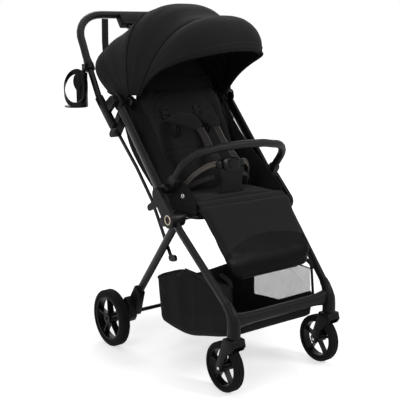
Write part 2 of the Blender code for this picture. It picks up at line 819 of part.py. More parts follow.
def make_upper_frame():
    for s in (-1, 1):
        x = s * TUBE_X
        cap_start = UPPER_LENGTH - 0.034
        start, end = along_upper(0.046), along_upper(cap_start - GAP)
        tube = add(
            side_name("upper_tube", s),
            sweep([(x, *start), (x, *end)], TUBE_WIDTH, TUBE_DEPTH, (1, 0, 0), 16, 2.3),
            "tube",
            "upper_frame",
        )
        face = TUBE_X - TUBE_WIDTH / 2
        boss = cylinder((s * face, *BUMPER_PIVOT), (s * (face + 0.0135), *BUMPER_PIVOT), 0.0125, 24)
        boolean(tube, helper(side_name("bumper_boss", s), boss, "upper_frame"), "UNION")
        pin = cylinder((s * (face + 0.004), *BUMPER_PIVOT), (s * (face - 0.0065), *BUMPER_PIVOT), HUB_PIN_R, 20)
        boolean(tube, helper(side_name("bumper_pin", s), pin, "upper_frame"), "UNION")
        make_top_cap(s, x, cap_start)
        make_hub_cover(s)
        path = [(s * STAY_X, y, z) for y, z in STAY_LINE]
        stay = add(
            side_name("side_stay", s),
            sweep(rounded(path, 0.06, 3), STAY_WIDTH, STAY_DEPTH, (1, 0, 0), 8, 3.0),
            "tube",
            "upper_frame",
        )
        low = s * STAY_X - STAY_WIDTH / 2 - 0.0005
        foot = plate(
            capsule(STAY_LINE[-1], (STAY_LINE[-1][0] - 0.014, STAY_LINE[-1][1] + 0.002), 0.0095),
            low,
            low + STAY_WIDTH + 0.001,
        )
        boolean(stay, helper(side_name("stay_foot", s), foot, "upper_frame"), "UNION")


def make_top_cap(s, x, cap_start):
    """The moulded cap on the upper tube, with the arm that holds the side stay behind it."""
    half = TUBE_WIDTH / 2 + 0.0002
    reach = TUBE_DEPTH / 2 + 0.0022
    outline = capsule(
        along_upper(cap_start + reach), along_upper(UPPER_LENGTH + 0.002), reach, reach * 0.92
    )
    floor = along_upper(cap_start)
    cap = add(side_name("top_cap", s), plate(outline, x - half, x + half), "plastic", "upper_frame")
    bevel(cap, 0.0035, 2, 30)
    c, d = math.cos(UPPER_ANGLE), math.sin(UPPER_ANGLE)
    corners = []
    for along, out in ((-0.08, -0.08), (-0.08, 0.08), (0.0, 0.08), (0.0, -0.08)):
        corners.append((floor[0] + along * c - out * d, floor[1] + along * d + out * c))
    trim = plate(corners, x - 0.05, x + 0.05)
    boolean(cap, helper(side_name("cap_trim", s), trim, "upper_frame"))
    arm = plate(
        capsule(along_upper(UPPER_LENGTH - 0.0205), STAY_LINE[0], 0.0095, 0.0095),
        min(s * (STAY_X - 0.005), s * (TUBE_X - 0.0055)),
        max(s * (STAY_X - 0.005), s * (TUBE_X - 0.0055)),
    )
    boolean(cap, helper(side_name("stay_arm", s), arm, "upper_frame"), "UNION")
    bore = cylinder(
        (x, *along_upper(UPPER_LENGTH)), (x + s * 0.02, *along_upper(UPPER_LENGTH)), 0.0065, 20
    )
    boolean(cap, helper(side_name("cap_bore", s), bore, "upper_frame"))
    room = sweep(
        rounded([(s * STAY_X, y, z) for y, z in STAY_LINE], 0.06, 3),
        STAY_WIDTH + 2 * GAP,
        STAY_DEPTH + 2 * GAP,
        (1, 0, 0),
        8,
        3.0,
    )
    bmesh.ops.translate(
        room,
        verts=room.verts[:8],
        vec=Vector((0, math.cos(math.radians(41)), math.sin(math.radians(41)))) * 0.0004,
    )
    boolean(cap, helper(side_name("stay_room", s), room, "upper_frame"))


def make_hub_cover(s):
    """The outer hub plate: it turns on the hub pin and carries a short rear arm and the trim ring."""
    inner = TUBE_X + TUBE_WIDTH / 2 + GAP
    outer = inner + COVER_THICKNESS

    def between(a, b):
        return min(s * a, s * b), max(s * a, s * b)

    main = plate(capsule((HUB_Y, HUB_Z), along_upper(0.085), 0.0240, 0.0190), *between(inner, outer))
    cover = add(side_name("hub_cover", s), main, "plastic", "upper_frame")
    arm = plate(
        capsule(along_upper(0.066), (0.055, 0.459), 0.0110, 0.0095), *between(inner + 0.0006, outer - 0.0028)
    )
    boolean(cover, helper(side_name("rear_arm", s), arm, "upper_frame"), "UNION")
    bore = cylinder(
        (s * (inner - 0.01), HUB_Y, HUB_Z), (s * (inner + 0.0060), HUB_Y, HUB_Z), HUB_PIN_R + PIN_CLEARANCE, 20
    )
    boolean(cover, helper(side_name("cover_bore", s), bore, "upper_frame"))
    ring = [
        (s * (outer + GAP), RING_R - 0.0045),
        (s * (outer + GAP), RING_R),
        (s * (outer + 0.0016), RING_R),
        (s * (outer + 0.0025), RING_R - 0.0010),
        (s * (outer + 0.0025), RING_R - 0.0035),
        (s * (outer + 0.0016), RING_R - 0.0045),
    ]
    add(side_name("hub_ring", s), lathe(ring, (0, HUB_Y, HUB_Z), 24), "ring", "upper_frame")


def make_handle():
    tube_end = GRIP_START - GAP
    rise = HANDLE_LENGTH
    grip_path_half = []
    for up in (GRIP_START, GRIP_START + 0.015):
        grip_path_half.append((SLEEVE_X - HANDLE_LEAN * up, up))
    grip_path_half.append((GRIP_HALF_WIDTH + 0.0015, 0.180))
    steps = 8
    for i in range(steps + 1):
        turn = math.pi / 2 * i / steps
        grip_path_half.append(
            (
                GRIP_HALF_WIDTH - CORNER_R + CORNER_R * math.cos(turn),
                rise - CORNER_R + CORNER_R * math.sin(turn),
            )
        )
    path = [handle_point(-x, s) for x, s in grip_path_half]
    path += [handle_point(0.0, rise)]
    path += [handle_point(x, s) for x, s in grip_path_half[::-1]]
    add("handle_grip", round_sweep(path, GRIP_R, 12), "leather", "handle")
    for s in (-1, 1):
        start = GAP + GRIP_R * HANDLE_LEAN
        low = handle_point(s * (SLEEVE_X - HANDLE_LEAN * start), start)
        high = handle_point(s * (SLEEVE_X - HANDLE_LEAN * tube_end), tube_end)
        tube = add(
            side_name("handle_tube", s), round_sweep([low, high], HANDLE_TUBE_R, 16), "tube", "handle"
        )
        collar_start = tube_end - 0.011
        collar_low = handle_point(s * (SLEEVE_X - HANDLE_LEAN * collar_start), collar_start)
        collar = round_sweep([collar_low, high], GRIP_R + 0.0012, 16)
        boolean(tube, helper(side_name("grip_collar", s), collar, "handle"), "UNION")
        make_sleeve(s)
    make_fold_housing()
    make_cup_holder()


def make_sleeve(s):
    """The sleeve at the foot of each handle leg, with the arm that turns on the top cap."""
    inner = TUBE_X + TUBE_WIDTH / 2 + LAYER_GAP
    outer = inner + SLEEVE_WIDTH
    half = SLEEVE_DEPTH / 2
    y0, z0 = SLEEVE_FOOT
    y1, z1 = SLEEVE_TOP
    c, d = (y1 - y0) / math.hypot(y1 - y0, z1 - z0), (z1 - z0) / math.hypot(y1 - y0, z1 - z0)
    hc, hd = math.cos(HANDLE_ANGLE), math.sin(HANDLE_ANGLE)
    outline = []
    for i in range(9):
        turn = math.atan2(d, c) + math.radians(90 + 180 * i / 8)
        outline.append((y0 + half * c + half * math.cos(turn), z0 + half * d + half * math.sin(turn)))
    outline.append((y1 - 0.004 * hc + half * hd, z1 - 0.004 * hd - half * hc))
    outline.append((y1 + half * hd, z1 - half * hc))
    outline.append((y1 - half * hd, z1 + half * hc))
    outline.append((y1 - 0.004 * hc - half * hd, z1 - 0.004 * hd + half * hc))
    lo, hi = min(s * inner, s * outer), max(s * inner, s * outer)
    sleeve = add(side_name("sleeve", s), plate(outline, lo, hi), "plastic", "handle")
    bevel(sleeve, 0.0045, 3, 40)
    pivot = along_upper(UPPER_LENGTH)
    arm_outer = inner + 0.0125
    arm = plate(
        capsule(pivot, (y0 + 0.072 * c, z0 + 0.072 * d), 0.0150, 0.0170),
        min(s * (inner + 0.0003), s * arm_outer),
        max(s * (inner + 0.0003), s * arm_outer),
    )
    boolean(sleeve, helper(side_name("sleeve_arm", s), arm, "handle"), "UNION")
    pin = cylinder((s * (TUBE_X + 0.001), *pivot), (s * (inner + 0.005), *pivot), 0.006, 20)
    boolean(sleeve, helper(side_name("sleeve_pin", s), pin, "handle"), "UNION")


def make_fold_housing():
    """The release under the middle of the grip: housing, pull trigger and thumb button."""
    top = HANDLE_LENGTH - 0.003
    bottom = HANDLE_LENGTH - FOLD_HOUSING_DROP
    half = FOLD_HOUSING_DEPTH / 2

    def block(half_x, low, high, half_out):
        rings = []
        for s_value in (low, high):
            rings.append(
                [
                    handle_point(x, s_value, out)
                    for x, out in (
                        (-half_x, -half_out),
                        (half_x, -half_out),
                        (half_x, half_out),
                        (-half_x, half_out),
                    )
                ]
            )
        return skin(rings)

    housing = add("fold_housing", block(FOLD_HOUSING_HALF, bottom, top, half), "plastic", "handle")
    bevel(housing, 0.0050, 2)
    saddle = round_sweep(
        [handle_point(-0.08, HANDLE_LENGTH), handle_point(0.08, HANDLE_LENGTH)], GRIP_R + 0.0004, 12
    )
    boolean(housing, helper("grip_saddle", saddle, "handle"))
    pocket_top = bottom + 0.005 + TRIGGER_TRAVEL + SLIDE_CLEARANCE
    pocket = block(
        TRIGGER_HALF + SLIDE_CLEARANCE, bottom - 0.01, pocket_top, TRIGGER_DEPTH / 2 + SLIDE_CLEARANCE
    )
    boolean(housing, helper("trigger_pocket", pocket, "handle"))
    trigger = add(
        "fold_trigger",
        block(TRIGGER_HALF, bottom - 0.008, bottom + 0.005, TRIGGER_DEPTH / 2),
        "button",
        "fold_trigger",
    )
    bevel(trigger, 0.0020, 2)
    s_value = HANDLE_LENGTH - 0.030
    deep = half - 0.0050
    hole = cylinder(
        handle_point(0.031, s_value, deep - SAFETY_TRAVEL),
        handle_point(0.031, s_value, half + 0.01),
        SAFETY_R + SLIDE_CLEARANCE,
        20,
    )
    boolean(housing, helper("safety_hole", hole, "handle"))
    button = cylinder(
        handle_point(0.031, s_value, deep + SLIDE_CLEARANCE),
        handle_point(0.031, s_value, half + SAFETY_TRAVEL + 0.0008),
        SAFETY_R,
        20,
    )
    add("safety_button", button, "button", "safety_button")


def make_cup_holder():
    """A clamp on the right handle tube and an open cup: back shell, slanted hoop and base."""
    at = handle_point(-(SLEEVE_X - HANDLE_LEAN * CLAMP_S), CLAMP_S)
    up = (handle_point(HANDLE_LEAN, 1.0) - handle_point(0.0, 0.0)).normalized()
    clamp = add(
        "cup_clamp",
        round_sweep([at - up * 0.0105, at + up * 0.0105], 0.0152, 20),
        "plastic",
        "handle",
    )
    lug = box((-CUP_CLAMP_X, at.y - 0.009, at.z - 0.009), (at.x - 0.006, at.y + 0.009, at.z + 0.009))
    boolean(clamp, helper("clamp_lug", lug, "handle"), "UNION")
    bore = round_sweep([at - up * 0.03, at + up * 0.03], HANDLE_TUBE_R + GAP, 16)
    boolean(clamp, helper("clamp_bore", bore, "handle"))
    cx, cy = CUP_CENTRE

    def ring_point(radius, turn, z):
        return (cx + radius * math.cos(turn), cy + radius * math.sin(turn), z)

    def ring(radius, z, sides=32):
        return [ring_point(radius, 2 * math.pi * i / sides, z) for i in range(sides)]

    outer, inner = CUP_R - 0.0005, CUP_R - CUP_WALL
    floor = CUP_BOTTOM_Z + 0.0045
    base = skin([ring(CUP_R - 0.002, CUP_BOTTOM_Z), ring(CUP_R, CUP_BOTTOM_Z + 0.002), ring(CUP_R, floor)])
    cup = add("cup_holder", base, "plastic", "cup_holder")
    sections = []
    for i in range(13):
        turn = math.radians(-75 + 135 * i / 12)
        sections.append(
            [
                ring_point(outer, turn, floor - 0.002),
                ring_point(outer, turn, CUP_TOP_Z - 0.010),
                ring_point(inner, turn, CUP_TOP_Z - 0.010),
                ring_point(inner, turn, floor - 0.002),
            ]
        )
    boolean(cup, helper("cup_shell", skin(sections), "cup_holder"), "UNION")
    # The hoop lies in a slanted plane: low at the front, high next to the handle.
    band = 0.008
    rise = (CUP_TOP_Z - CUP_BOTTOM_Z) / 2 - band
    sections = []
    for i in range(36):
        turn = 2 * math.pi * (i + 0.5) / 36
        middle = (CUP_TOP_Z + CUP_BOTTOM_Z) / 2 + rise * math.cos(turn - math.radians(55)) + 0.0006
        sections.append(
            [
                ring_point(CUP_R + 0.0003, turn, middle - band),
                ring_point(CUP_R + 0.0003, turn, middle + band),
                ring_point(inner - 0.0005, turn, middle + band),
                ring_point(inner - 0.0005, turn, middle - band),
            ]
        )
    boolean(cup, helper("cup_hoop", skin(sections, closed=True), "cup_holder"), "UNION")
    back = box(
        (cx + CUP_R - 0.0022, at.y - 0.010, CUP_TOP_Z - 0.075),
        (-CUP_CLAMP_X - GAP, at.y + 0.010, at.z + 0.010),
    )
    boolean(cup, helper("cup_back", back, "cup_holder"), "UNION")


def make_backrest():
    """The backrest: a bent tube behind a sewn pad, both in the pad's own plane."""
    c, d = math.cos(BACK_ANGLE), math.sin(BACK_ANGLE)
    up = Vector((0, c, d))
    out = Vector((0, -d, c))
    pivot = Vector((0, *BACK_PIVOT))
    frame_r = 0.007
    base = pivot - out * (frame_r + 0.0006)
    half = BACK_HALF - 0.020
    path = rounded(
        [
            base + Vector((-half, 0, 0)) + up * 0.012,
            base + Vector((-half + 0.008, 0, 0)) + up * (BACK_HEIGHT - 0.03),
            base + Vector((half - 0.008, 0, 0)) + up * (BACK_HEIGHT - 0.03),
            base + Vector((half, 0, 0)) + up * 0.012,
        ],
        0.045,
        5,
    )
    add("backrest_frame", round_sweep(path, frame_r, 10), "tube", "backrest")
    rows = stations(0.004, BACK_HEIGHT, BACK_HALF, BACK_HALF - 0.007, 0.020, 0.055, (0.150, 0.262))
    pad = cushion(
        pivot, (1, 0, 0), up, out, rows, BACK_THICKNESS, 0.004, (0.150, 0.262)
    )
    add("backrest_pad", pad, "fabric", "backrest")


def make_seat():
    """A thin sling over the rail with a raised wing on each side, and the seat pad inside it."""
    bottom = RAIL_Z + RAIL_R + GAP
    inner = SEAT_HALF + 2 * GAP
    outer = inner + WING_THICKNESS
    floor = box((-outer, SEAT_FRONT_Y + 0.012, bottom), (outer, WING_OUTLINE[0][0], bottom + SLING))
    sling = add("seat_sling", floor, "fabric", "stroller")
    for s in (-1, 1):
        wing = plate(WING_OUTLINE, min(s * inner, s * outer), max(s * inner, s * outer))
        boolean(sling, helper(side_name("seat_wing", s), wing, "stroller"), "UNION")
    bottom += SLING + GAP
    rows = stations(
        SEAT_FRONT_Y, SEAT_REAR_Y, SEAT_HALF, SEAT_HALF - 0.004, 0.010, 0.014, (-0.046,)
    )
    pad = cushion(
        (0, 0, bottom), (1, 0, 0), (0, 1, 0), (0, 0, 1), rows, SEAT_TOP_Z - bottom + 0.003, 0.003, (-0.046,)
    )
    add("seat_pad", pad, "fabric", "stroller")


def make_leg_rest():
    c, d = math.cos(LEG_ANGLE), math.sin(LEG_ANGLE)
    down = Vector((0, c, d))
    out = Vector((0, d, -c))
    pivot = Vector((0, *LEG_PIVOT))
    board_r = 0.005
    half = LEG_LUG_X[0] - 0.0065 - 0.0050
    fold = math.radians(16)
    rest_down = Vector((0, math.cos(LEG_ANGLE + fold), math.sin(LEG_ANGLE + fold)))
    rest_out = Vector((0, rest_down.z, -rest_down.y))
    knee = pivot + down * LEG_LENGTH
    side = [
        pivot + Vector((half + 0.006, 0, 0)) + down * 0.004,
        knee + Vector((half - 0.006, 0, 0)),
        knee + Vector((half - 0.012, 0, 0)) + rest_down * 0.034,
    ]
    other = [Vector((-p.x, p.y, p.z)) for p in side]
    path = rounded(other + side[::-1], [0.080, 0.022, 0.022, 0.080], 3)
    add("leg_rest_frame", round_sweep(path, board_r, 8), "tube", "leg_rest")
    front = pivot + out * (board_r + 0.0004)
    rows = stations(-LEG_PAD_RISE, LEG_LENGTH, RAIL_X + 0.016, RAIL_X - 0.001, 0.010, 0.008, (0.025,))
    pad = cushion(front, (1, 0, 0), down, out, rows, 0.018, 0.002, (0.025,))
    add("leg_rest_pad", pad, "fabric", "leg_rest")
    start = knee + rest_out * (board_r + 0.0004) + rest_down * 0.004
    rows = stations(0.0, 0.046, RAIL_X - 0.004, RAIL_X - 0.012, 0.006, 0.020)
    foot = cushion(start, (1, 0, 0), rest_down, rest_out, rows, 0.014, 0.0015)
    add("footrest_pad", foot, "leather", "leg_rest")


def make_basket():
    """A sewn fabric bin slung between the legs, open at the top, with its floor rising to the front."""
    rear, front, half, corner = 0.142, -0.2480, RAIL_X, 0.030
    floor_line = ((0.142, 0.092), (0.10, 0.084), (0.045, 0.077), (-0.02, 0.079), (-0.09, 0.097), (-0.20, 0.131), (-0.248, 0.150))
    rim_line = ((0.142, 0.210), (0.129, 0.221), (0.055, 0.257), (-0.03, 0.281), (-0.10, 0.272), (-0.18, 0.238), (-0.248, 0.198))

    def height(line, y):
        return float(np.interp(-y, [-point[0] for point in line], [point[1] for point in line]))

    def half_loop(inset, rear_draw):
        """(x, y) from the middle of the rear wall round the left side to the middle of the front wall."""
        w, r = half - inset, corner - inset
        back, ahead = rear - inset - rear_draw, front + inset
        points = [(0.0, back)]
        for first, cx, cy in ((90, w - r, back - r), (0, w - r, ahead + r)):
            if first == 0:
                points += [(w, back + (ahead - back) * t) for t in (0.25, 0.40, 0.55, 0.72)]
            for k in range(4):
                turn = math.radians(first - 30 * k)
                points.append((cx + r * math.cos(turn), cy + r * math.sin(turn)))
        points.append((0.0, ahead))
        return points

    def level(inset, rear_draw, share, lift=0.0):
        loop = []
        for x, y in half_loop(inset, rear_draw):
            low, high = height(floor_line, y), height(rim_line, y)
            flat = 0.203 if y > -0.05 else 0.198
            high = flat + (high - flat) * min(1.0, abs(x) / (half - corner)) ** 2
            loop.append((x, y, low + (high - low) * share + lift))
        return loop

    wall = BASKET_WALL
    shells = [
        level(0.020, 0.014, 0.0),
        level(0.004, 0.010, 0.10),
        level(0.0, 0.004, 0.50),
        level(0.0, 0.0, 1.0),
        level(wall, 0.0, 1.0),
        level(wall, 0.004, 0.50),
        level(0.004 + wall, 0.010, 0.10),
        level(0.020 + wall, 0.014, 0.0, wall),
    ]
    bm = bmesh.new()
    count = len(shells[0])
    sides = []
    for loop in shells:
        left = [bm.verts.new(p) for p in loop]
        right = [left[0]] + [bm.verts.new((-x, y, z)) for x, y, z in loop[1:-1]] + [left[-1]]
        sides.append((left, right))
    for i in range(len(sides) - 1):
        for low, high in zip(sides[i], sides[i + 1]):
            for j in range(count - 1):
                bm.faces.new((low[j], low[j + 1], high[j + 1], high[j]))
    for left, right in (sides[0], sides[-1]):
        bm.faces.new((left[0], left[1], right[1]))
        for j in range(1, count - 2):
            bm.faces.new((left[j], left[j + 1], right[j + 1], right[j]))
        bm.faces.new((left[-2], left[-1], right[-2]))
    add("basket", bm, "fabric", "stroller")


def bow(angle, reach, half, power, count=17):
    """Points of one canopy bow: it leaves the right pivot, arches over and ends at the left one."""
    c, d = math.cos(angle), math.sin(angle)
    points = []
    for i in range(count):
        turn = math.pi * i / (count - 1)
        h = math.sin(turn) ** (2 / power)
        x = -math.copysign(abs(math.cos(turn)) ** (2 / power), math.cos(turn)) * half
        h = CANOPY_START / reach + (1 - CANOPY_START / reach) * h
        points.append(
            Vector((x, CANOPY_PIVOT[0] + reach * h * c, CANOPY_PIVOT[1] + reach * h * d))
        )
    return points


def shell_between(bows, thickness):
    """A thin closed shell through neighbouring bows, its inner face drawn towards the pivots' line."""
    bm = bmesh.new()
    middle = Vector((0, CANOPY_PIVOT[0], CANOPY_PIVOT[1] + 0.02))
    normals = []
    rows, cols = len(bows), len(bows[0])
    for i in range(rows):
        line = []
        for j in range(cols):
            across = bows[i][min(j + 1, cols - 1)] - bows[i][max(j - 1, 0)]
            along = bows[min(i + 1, rows - 1)][j] - bows[max(i - 1, 0)][j]
            normal = across.cross(along)
            normal.normalize()
            if normal.dot(bows[i][j] - middle) < 0:
                normal = -normal
            if i in (0, rows - 1):
                spoke = bows[i][cols // 2] - Vector((0, *CANOPY_PIVOT))
                turning = Vector((0, -spoke.z, spoke.y)).normalized()
                normal -= turning * normal.dot(turning)
                normal.normalize()
            line.append(normal)
        normals.append(line)
    outer = [[bm.verts.new(p) for p in row] for row in bows]
    inner = [
        [bm.verts.new(bows[i][j] - normals[i][j] * thickness) for j in range(cols)]
        for i in range(rows)
    ]
    for i in range(rows - 1):
        for j in range(cols - 1):
            bm.faces.new((outer[i][j], outer[i][j + 1], outer[i + 1][j + 1], outer[i + 1][j]))
            bm.faces.new((inner[i][j], inner[i + 1][j], inner[i + 1][j + 1], inner[i][j + 1]))
    edge = [(0, j) for j in range(cols)]
    edge += [(i, cols - 1) for i in range(1, rows)]
    edge += [(rows - 1, j) for j in range(cols - 2, -1, -1)]
    edge += [(i, 0) for i in range(rows - 2, 0, -1)]
    for k in range(len(edge)):
        a, b = edge[k], edge[(k + 1) % len(edge)]
        bm.faces.new((outer[a[0]][a[1]], outer[b[0]][b[1]], inner[b[0]][b[1]], inner[a[0]][a[1]]))
    return bm


def make_canopy():
    """Three sewn panels that fan out from the pivots, with a peak at the front."""
    seam = math.radians(0.18)
    wide = SLEEVE_X - 0.032
    # Each panel: the (angle, reach, half width, squareness) of its bows, rear to front
    rear = [
        (7, 0.200, wide - 0.012, 5.0),
        (20, 0.273, wide - 0.003, 6.0),
        (39, 0.270, wide - 0.001, 4.2),
        (60, 0.252, wide, 3.2),
        (80.3, 0.272, wide, 2.76),
    ]
    middle = [
        (80.3, 0.272, wide, 2.76),
        (92, 0.282, wide - 0.006, 2.7),
        (102, 0.278, wide - 0.012, 2.65),
        (112, 0.269, wide - 0.018, 2.6),
        (121.9, 0.278, wide - 0.022, 2.54),
    ]
    front = [
        (121.9, 0.278, wide - 0.022, 2.54),
        (128, 0.312, wide - 0.023, 2.5),
        (136, 0.338, wide - 0.024, 2.5),
        (145, 0.344, wide - 0.025, 2.5),
        (152.1, 0.325, wide - 0.026, 2.55),
    ]
    for name, panel, owner in (
        ("canopy_rear", rear, "upper_frame"),
        ("canopy_middle", middle, "canopy_middle"),
        ("canopy_front", front, "canopy_front"),
    ):
        bows = []
        for k, (angle, reach, half, power) in enumerate(panel):
            turn = math.radians(angle)
            if k == 0 and name != "canopy_rear":
                turn += seam
            if k == len(panel) - 1 and name != "canopy_front":
                turn -= seam
            bows.append(bow(turn, reach, half, power))
        add(name, shell_between(bows, CANOPY_SHELL), "fabric", owner)


def make_harness():
    """Crotch pad, buckle with its press button, waist belt and two shoulder straps."""
    top = SEAT_TOP_Z + 0.004
    pad_path = [(0, BUCKLE[0] + y, top + z) for y, z in ((-0.004, 0.0), (0.005, 0.030), (0.017, 0.075), (0.023, 0.106))]
    widths = [0.062, 0.066, 0.070, 0.060]
    pad = sweep(pad_path, widths, [0.009, 0.012, 0.012, 0.009], (1, 0, 0), 12, 3.4)
    add("crotch_pad", pad, "fabric", "crotch_strap")
    # The buckle stands in front of the pad's upper end.
    lean = math.radians(14)
    centre = Vector((0, *BUCKLE))
    up = Vector((0, math.sin(lean), math.cos(lean)))
    out = Vector((0, -math.cos(lean), math.sin(lean)))

    def slab(half_x, half_up, low, high):
        rings = []
        for depth in (low, high):
            ring = []
            for i in range(20):
                turn = 2 * math.pi * (i + 0.5) / 20
                cx = math.copysign(abs(math.cos(turn)) ** 0.6, math.cos(turn)) * half_x
                cz = math.copysign(abs(math.sin(turn)) ** 0.6, math.sin(turn)) * half_up
                ring.append(centre + Vector((cx, 0, 0)) + up * cz + out * depth)
            rings.append(ring)
        return skin(rings)

    buckle = add("buckle", slab(0.031, 0.021, -0.0055, 0.0085), "plastic", "crotch_strap")
    bevel(buckle, 0.0025, 2)
    well = cylinder(centre + out * 0.0040, centre + out * 0.02, 0.0125, 24)
    boolean(buckle, helper("button_well", well, "crotch_strap"))
    button = cylinder(centre + out * 0.0068, centre + out * 0.0100, 0.0119, 24)
    add("buckle_button", button, "button", "buckle_button")
    for s in (-1, 1):
        c, d = math.cos(BACK_ANGLE), math.sin(BACK_ANGLE)
        face = BACK_THICKNESS * 0.82 + 0.0055
        pivot = Vector((0, *BACK_PIVOT))
        back_out = Vector((0, -d, c))
        back_up = Vector((0, c, d))
        strap = [
            pivot + back_out * (face + 0.0050) + back_up * 0.262 + Vector((s * 0.060, 0, 0)),
            pivot + back_out * (face + 0.0056) + back_up * 0.225 + Vector((s * 0.060, 0, 0)),
            pivot + back_out * (face + 0.0056) + back_up * 0.150 + Vector((s * 0.056, 0, 0)),
            pivot + back_out * (face + 0.0062) + back_up * 0.110 + Vector((s * 0.053, 0, 0)),
        ]
        shoulder = sweep(strap, [0.026, 0.046, 0.046, 0.030], [0.006, 0.010, 0.010, 0.006], (1, 0, 0), 10, 3.2)
        add(side_name("shoulder_strap", s), shoulder, "webbing", "backrest")
    half_belt = [(SEAT_HALF - 0.0230, 0.048, 0.491), (0.1000, 0.026, 0.502), (0.0700, -0.002, 0.531)]
    half_belt.append((0.0410, BUCKLE[0] + 0.0095, BUCKLE[1] - 0.010))
    belt = [(-x, y, z) for x, y, z in half_belt] + [(0.0, BUCKLE[0] + 0.0075, BUCKLE[1] - 0.0015)] + half_belt[::-1]
    waist = sweep(belt, 0.022, 0.0026, (0, 0.30, 0.95), 8, 4.0)
    add("waist_belt", waist, "webbing", "stroller")


def make_bumper():
    """The bumper bar: padded loop, end fittings on the hub covers, and two release buttons."""
    c, d = math.cos(BUMPER_ANGLE), math.sin(BUMPER_ANGLE)

    def point(x, reach, forward=0.0):
        return Vector((x, BUMPER_PIVOT[0] + reach * c - forward * d, BUMPER_PIVOT[1] + reach * d + forward * c))

    corner = 0.062
    path = [point(-BUMPER_X, 0.006)]
    path.append(point(-BUMPER_X, 0.050))
    steps = 6
    half_path = []
    for i in range(steps + 1):
        turn = math.pi / 2 * i / steps
        half_path.append(
            (
                BUMPER_X - corner + corner * math.cos(turn),
                BUMPER_REACH - 0.012 - corner + corner * math.sin(turn),
            )
        )
    path += [point(-x, r) for x, r in half_path]
    path += [point(x, BUMPER_REACH - 0.0035) for x in (-0.08, 0.08)]
    path.insert(len(path) - 1, point(0.0, BUMPER_REACH))
    path += [point(x, r) for x, r in half_path[::-1]]
    path.append(point(BUMPER_X, 0.050))
    path.append(point(BUMPER_X, 0.006))
    bar = add("bumper_bar", round_sweep(path, BUMPER_R - 0.0003, 12), "leather", "bumper")
    for s in (-1, 1):
        inner, outer = BUMPER_FITTING
        lo, hi = min(s * inner, s * outer), max(s * inner, s * outer)
        tip = (BUMPER_PIVOT[0] + 0.034 * c, BUMPER_PIVOT[1] + 0.034 * d)
        fitting = plate(capsule(BUMPER_PIVOT, tip, BUMPER_END_R, 0.0137), lo, hi)
        boolean(bar, helper(side_name("bumper_fitting", s), fitting, "bumper"), "UNION")
        hole = cylinder(
            (s * (outer - 0.0070), *BUMPER_PIVOT), (s * (outer + 0.01), *BUMPER_PIVOT), HUB_PIN_R + PIN_CLEARANCE, 20
        )
        boolean(bar, helper(side_name("bumper_hole", s), hole, "bumper"))
        floor = inner + 0.0080
        pocket = cylinder(
            (s * (inner - 0.02), *BUMPER_PIVOT), (s * floor, *BUMPER_PIVOT), BUMPER_BUTTON_R + SLIDE_CLEARANCE, 20
        )
        boolean(bar, helper(side_name("button_pocket", s), pocket, "bumper"))
        button = cylinder(
            (s * (inner - 0.0040), *BUMPER_PIVOT),
            (s * (floor - BUMPER_BUTTON_TRAVEL - GAP), *BUMPER_PIVOT),
            BUMPER_BUTTON_R,
            20,
        )
        add(side_name("bumper_button", s), button, "button", side_name("bumper_button", s))


def centre_on_origin():
    """Moves the whole stroller so that its bounding box is centred above the origin."""
    bpy.context.view_layer.update()
    graph = bpy.context.evaluated_depsgraph_get()
    low, high = Vector((9, 9, 9)), Vector((-9, -9, -9))
    for obj in bpy.context.scene.collection.objects:
        if obj.type != "MESH" or obj.hide_render:
            continue
        evaluated = obj.evaluated_get(graph)
        mesh = evaluated.to_mesh()
        for v in mesh.vertices:
            p = evaluated.matrix_world @ v.co
            for i in range(3):
                low[i] = min(low[i], p[i])
                high[i] = max(high[i], p[i])
        evaluated.to_mesh_clear()
    root = EMPTIES["stroller"]
    root.location = (-(low.x + high.x) / 2, -(low.y + high.y) / 2, -low.z)


clear_scene()
make_bodies()
make_rear_wheels()
make_casters()
make_front_frame()
make_front_legs()
make_seat_frame()
make_rear_legs()
make_upper_frame()
make_handle()
make_backrest()
make_seat()
make_leg_rest()
make_basket()
make_canopy()
make_harness()
make_bumper()
centre_on_origin()
for empty in EMPTIES.values():
    del empty["design_origin"]
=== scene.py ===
"""A compact stroller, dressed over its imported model: fabric, leather, wheels, mesh and fittings."""

import math

import bmesh
import bpy
import numpy as np
from mathutils import Matrix, Vector, noise


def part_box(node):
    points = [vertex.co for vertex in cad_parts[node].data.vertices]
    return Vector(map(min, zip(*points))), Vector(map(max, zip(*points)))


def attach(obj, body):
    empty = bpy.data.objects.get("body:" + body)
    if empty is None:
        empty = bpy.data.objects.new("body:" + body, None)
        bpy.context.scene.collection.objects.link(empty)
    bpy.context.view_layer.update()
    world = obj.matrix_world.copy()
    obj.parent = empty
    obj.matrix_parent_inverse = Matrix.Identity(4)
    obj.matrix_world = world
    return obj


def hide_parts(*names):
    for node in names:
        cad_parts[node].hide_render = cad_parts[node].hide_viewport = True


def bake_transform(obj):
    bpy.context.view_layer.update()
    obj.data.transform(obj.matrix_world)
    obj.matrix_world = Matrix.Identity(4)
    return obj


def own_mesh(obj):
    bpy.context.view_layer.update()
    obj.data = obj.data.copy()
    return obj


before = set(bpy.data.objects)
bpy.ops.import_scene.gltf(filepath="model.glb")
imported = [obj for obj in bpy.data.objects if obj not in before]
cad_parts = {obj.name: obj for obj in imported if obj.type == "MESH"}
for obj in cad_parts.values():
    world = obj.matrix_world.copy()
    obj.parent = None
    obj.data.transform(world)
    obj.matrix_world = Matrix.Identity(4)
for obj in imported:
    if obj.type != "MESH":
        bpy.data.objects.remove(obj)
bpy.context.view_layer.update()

# The shapes below are written in the stroller's own frame: x = 0 is its middle plane,
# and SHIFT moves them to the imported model's frame.
HUB_Y = -0.042
ring_left, ring_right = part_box("hub_ring_left"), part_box("hub_ring_right")
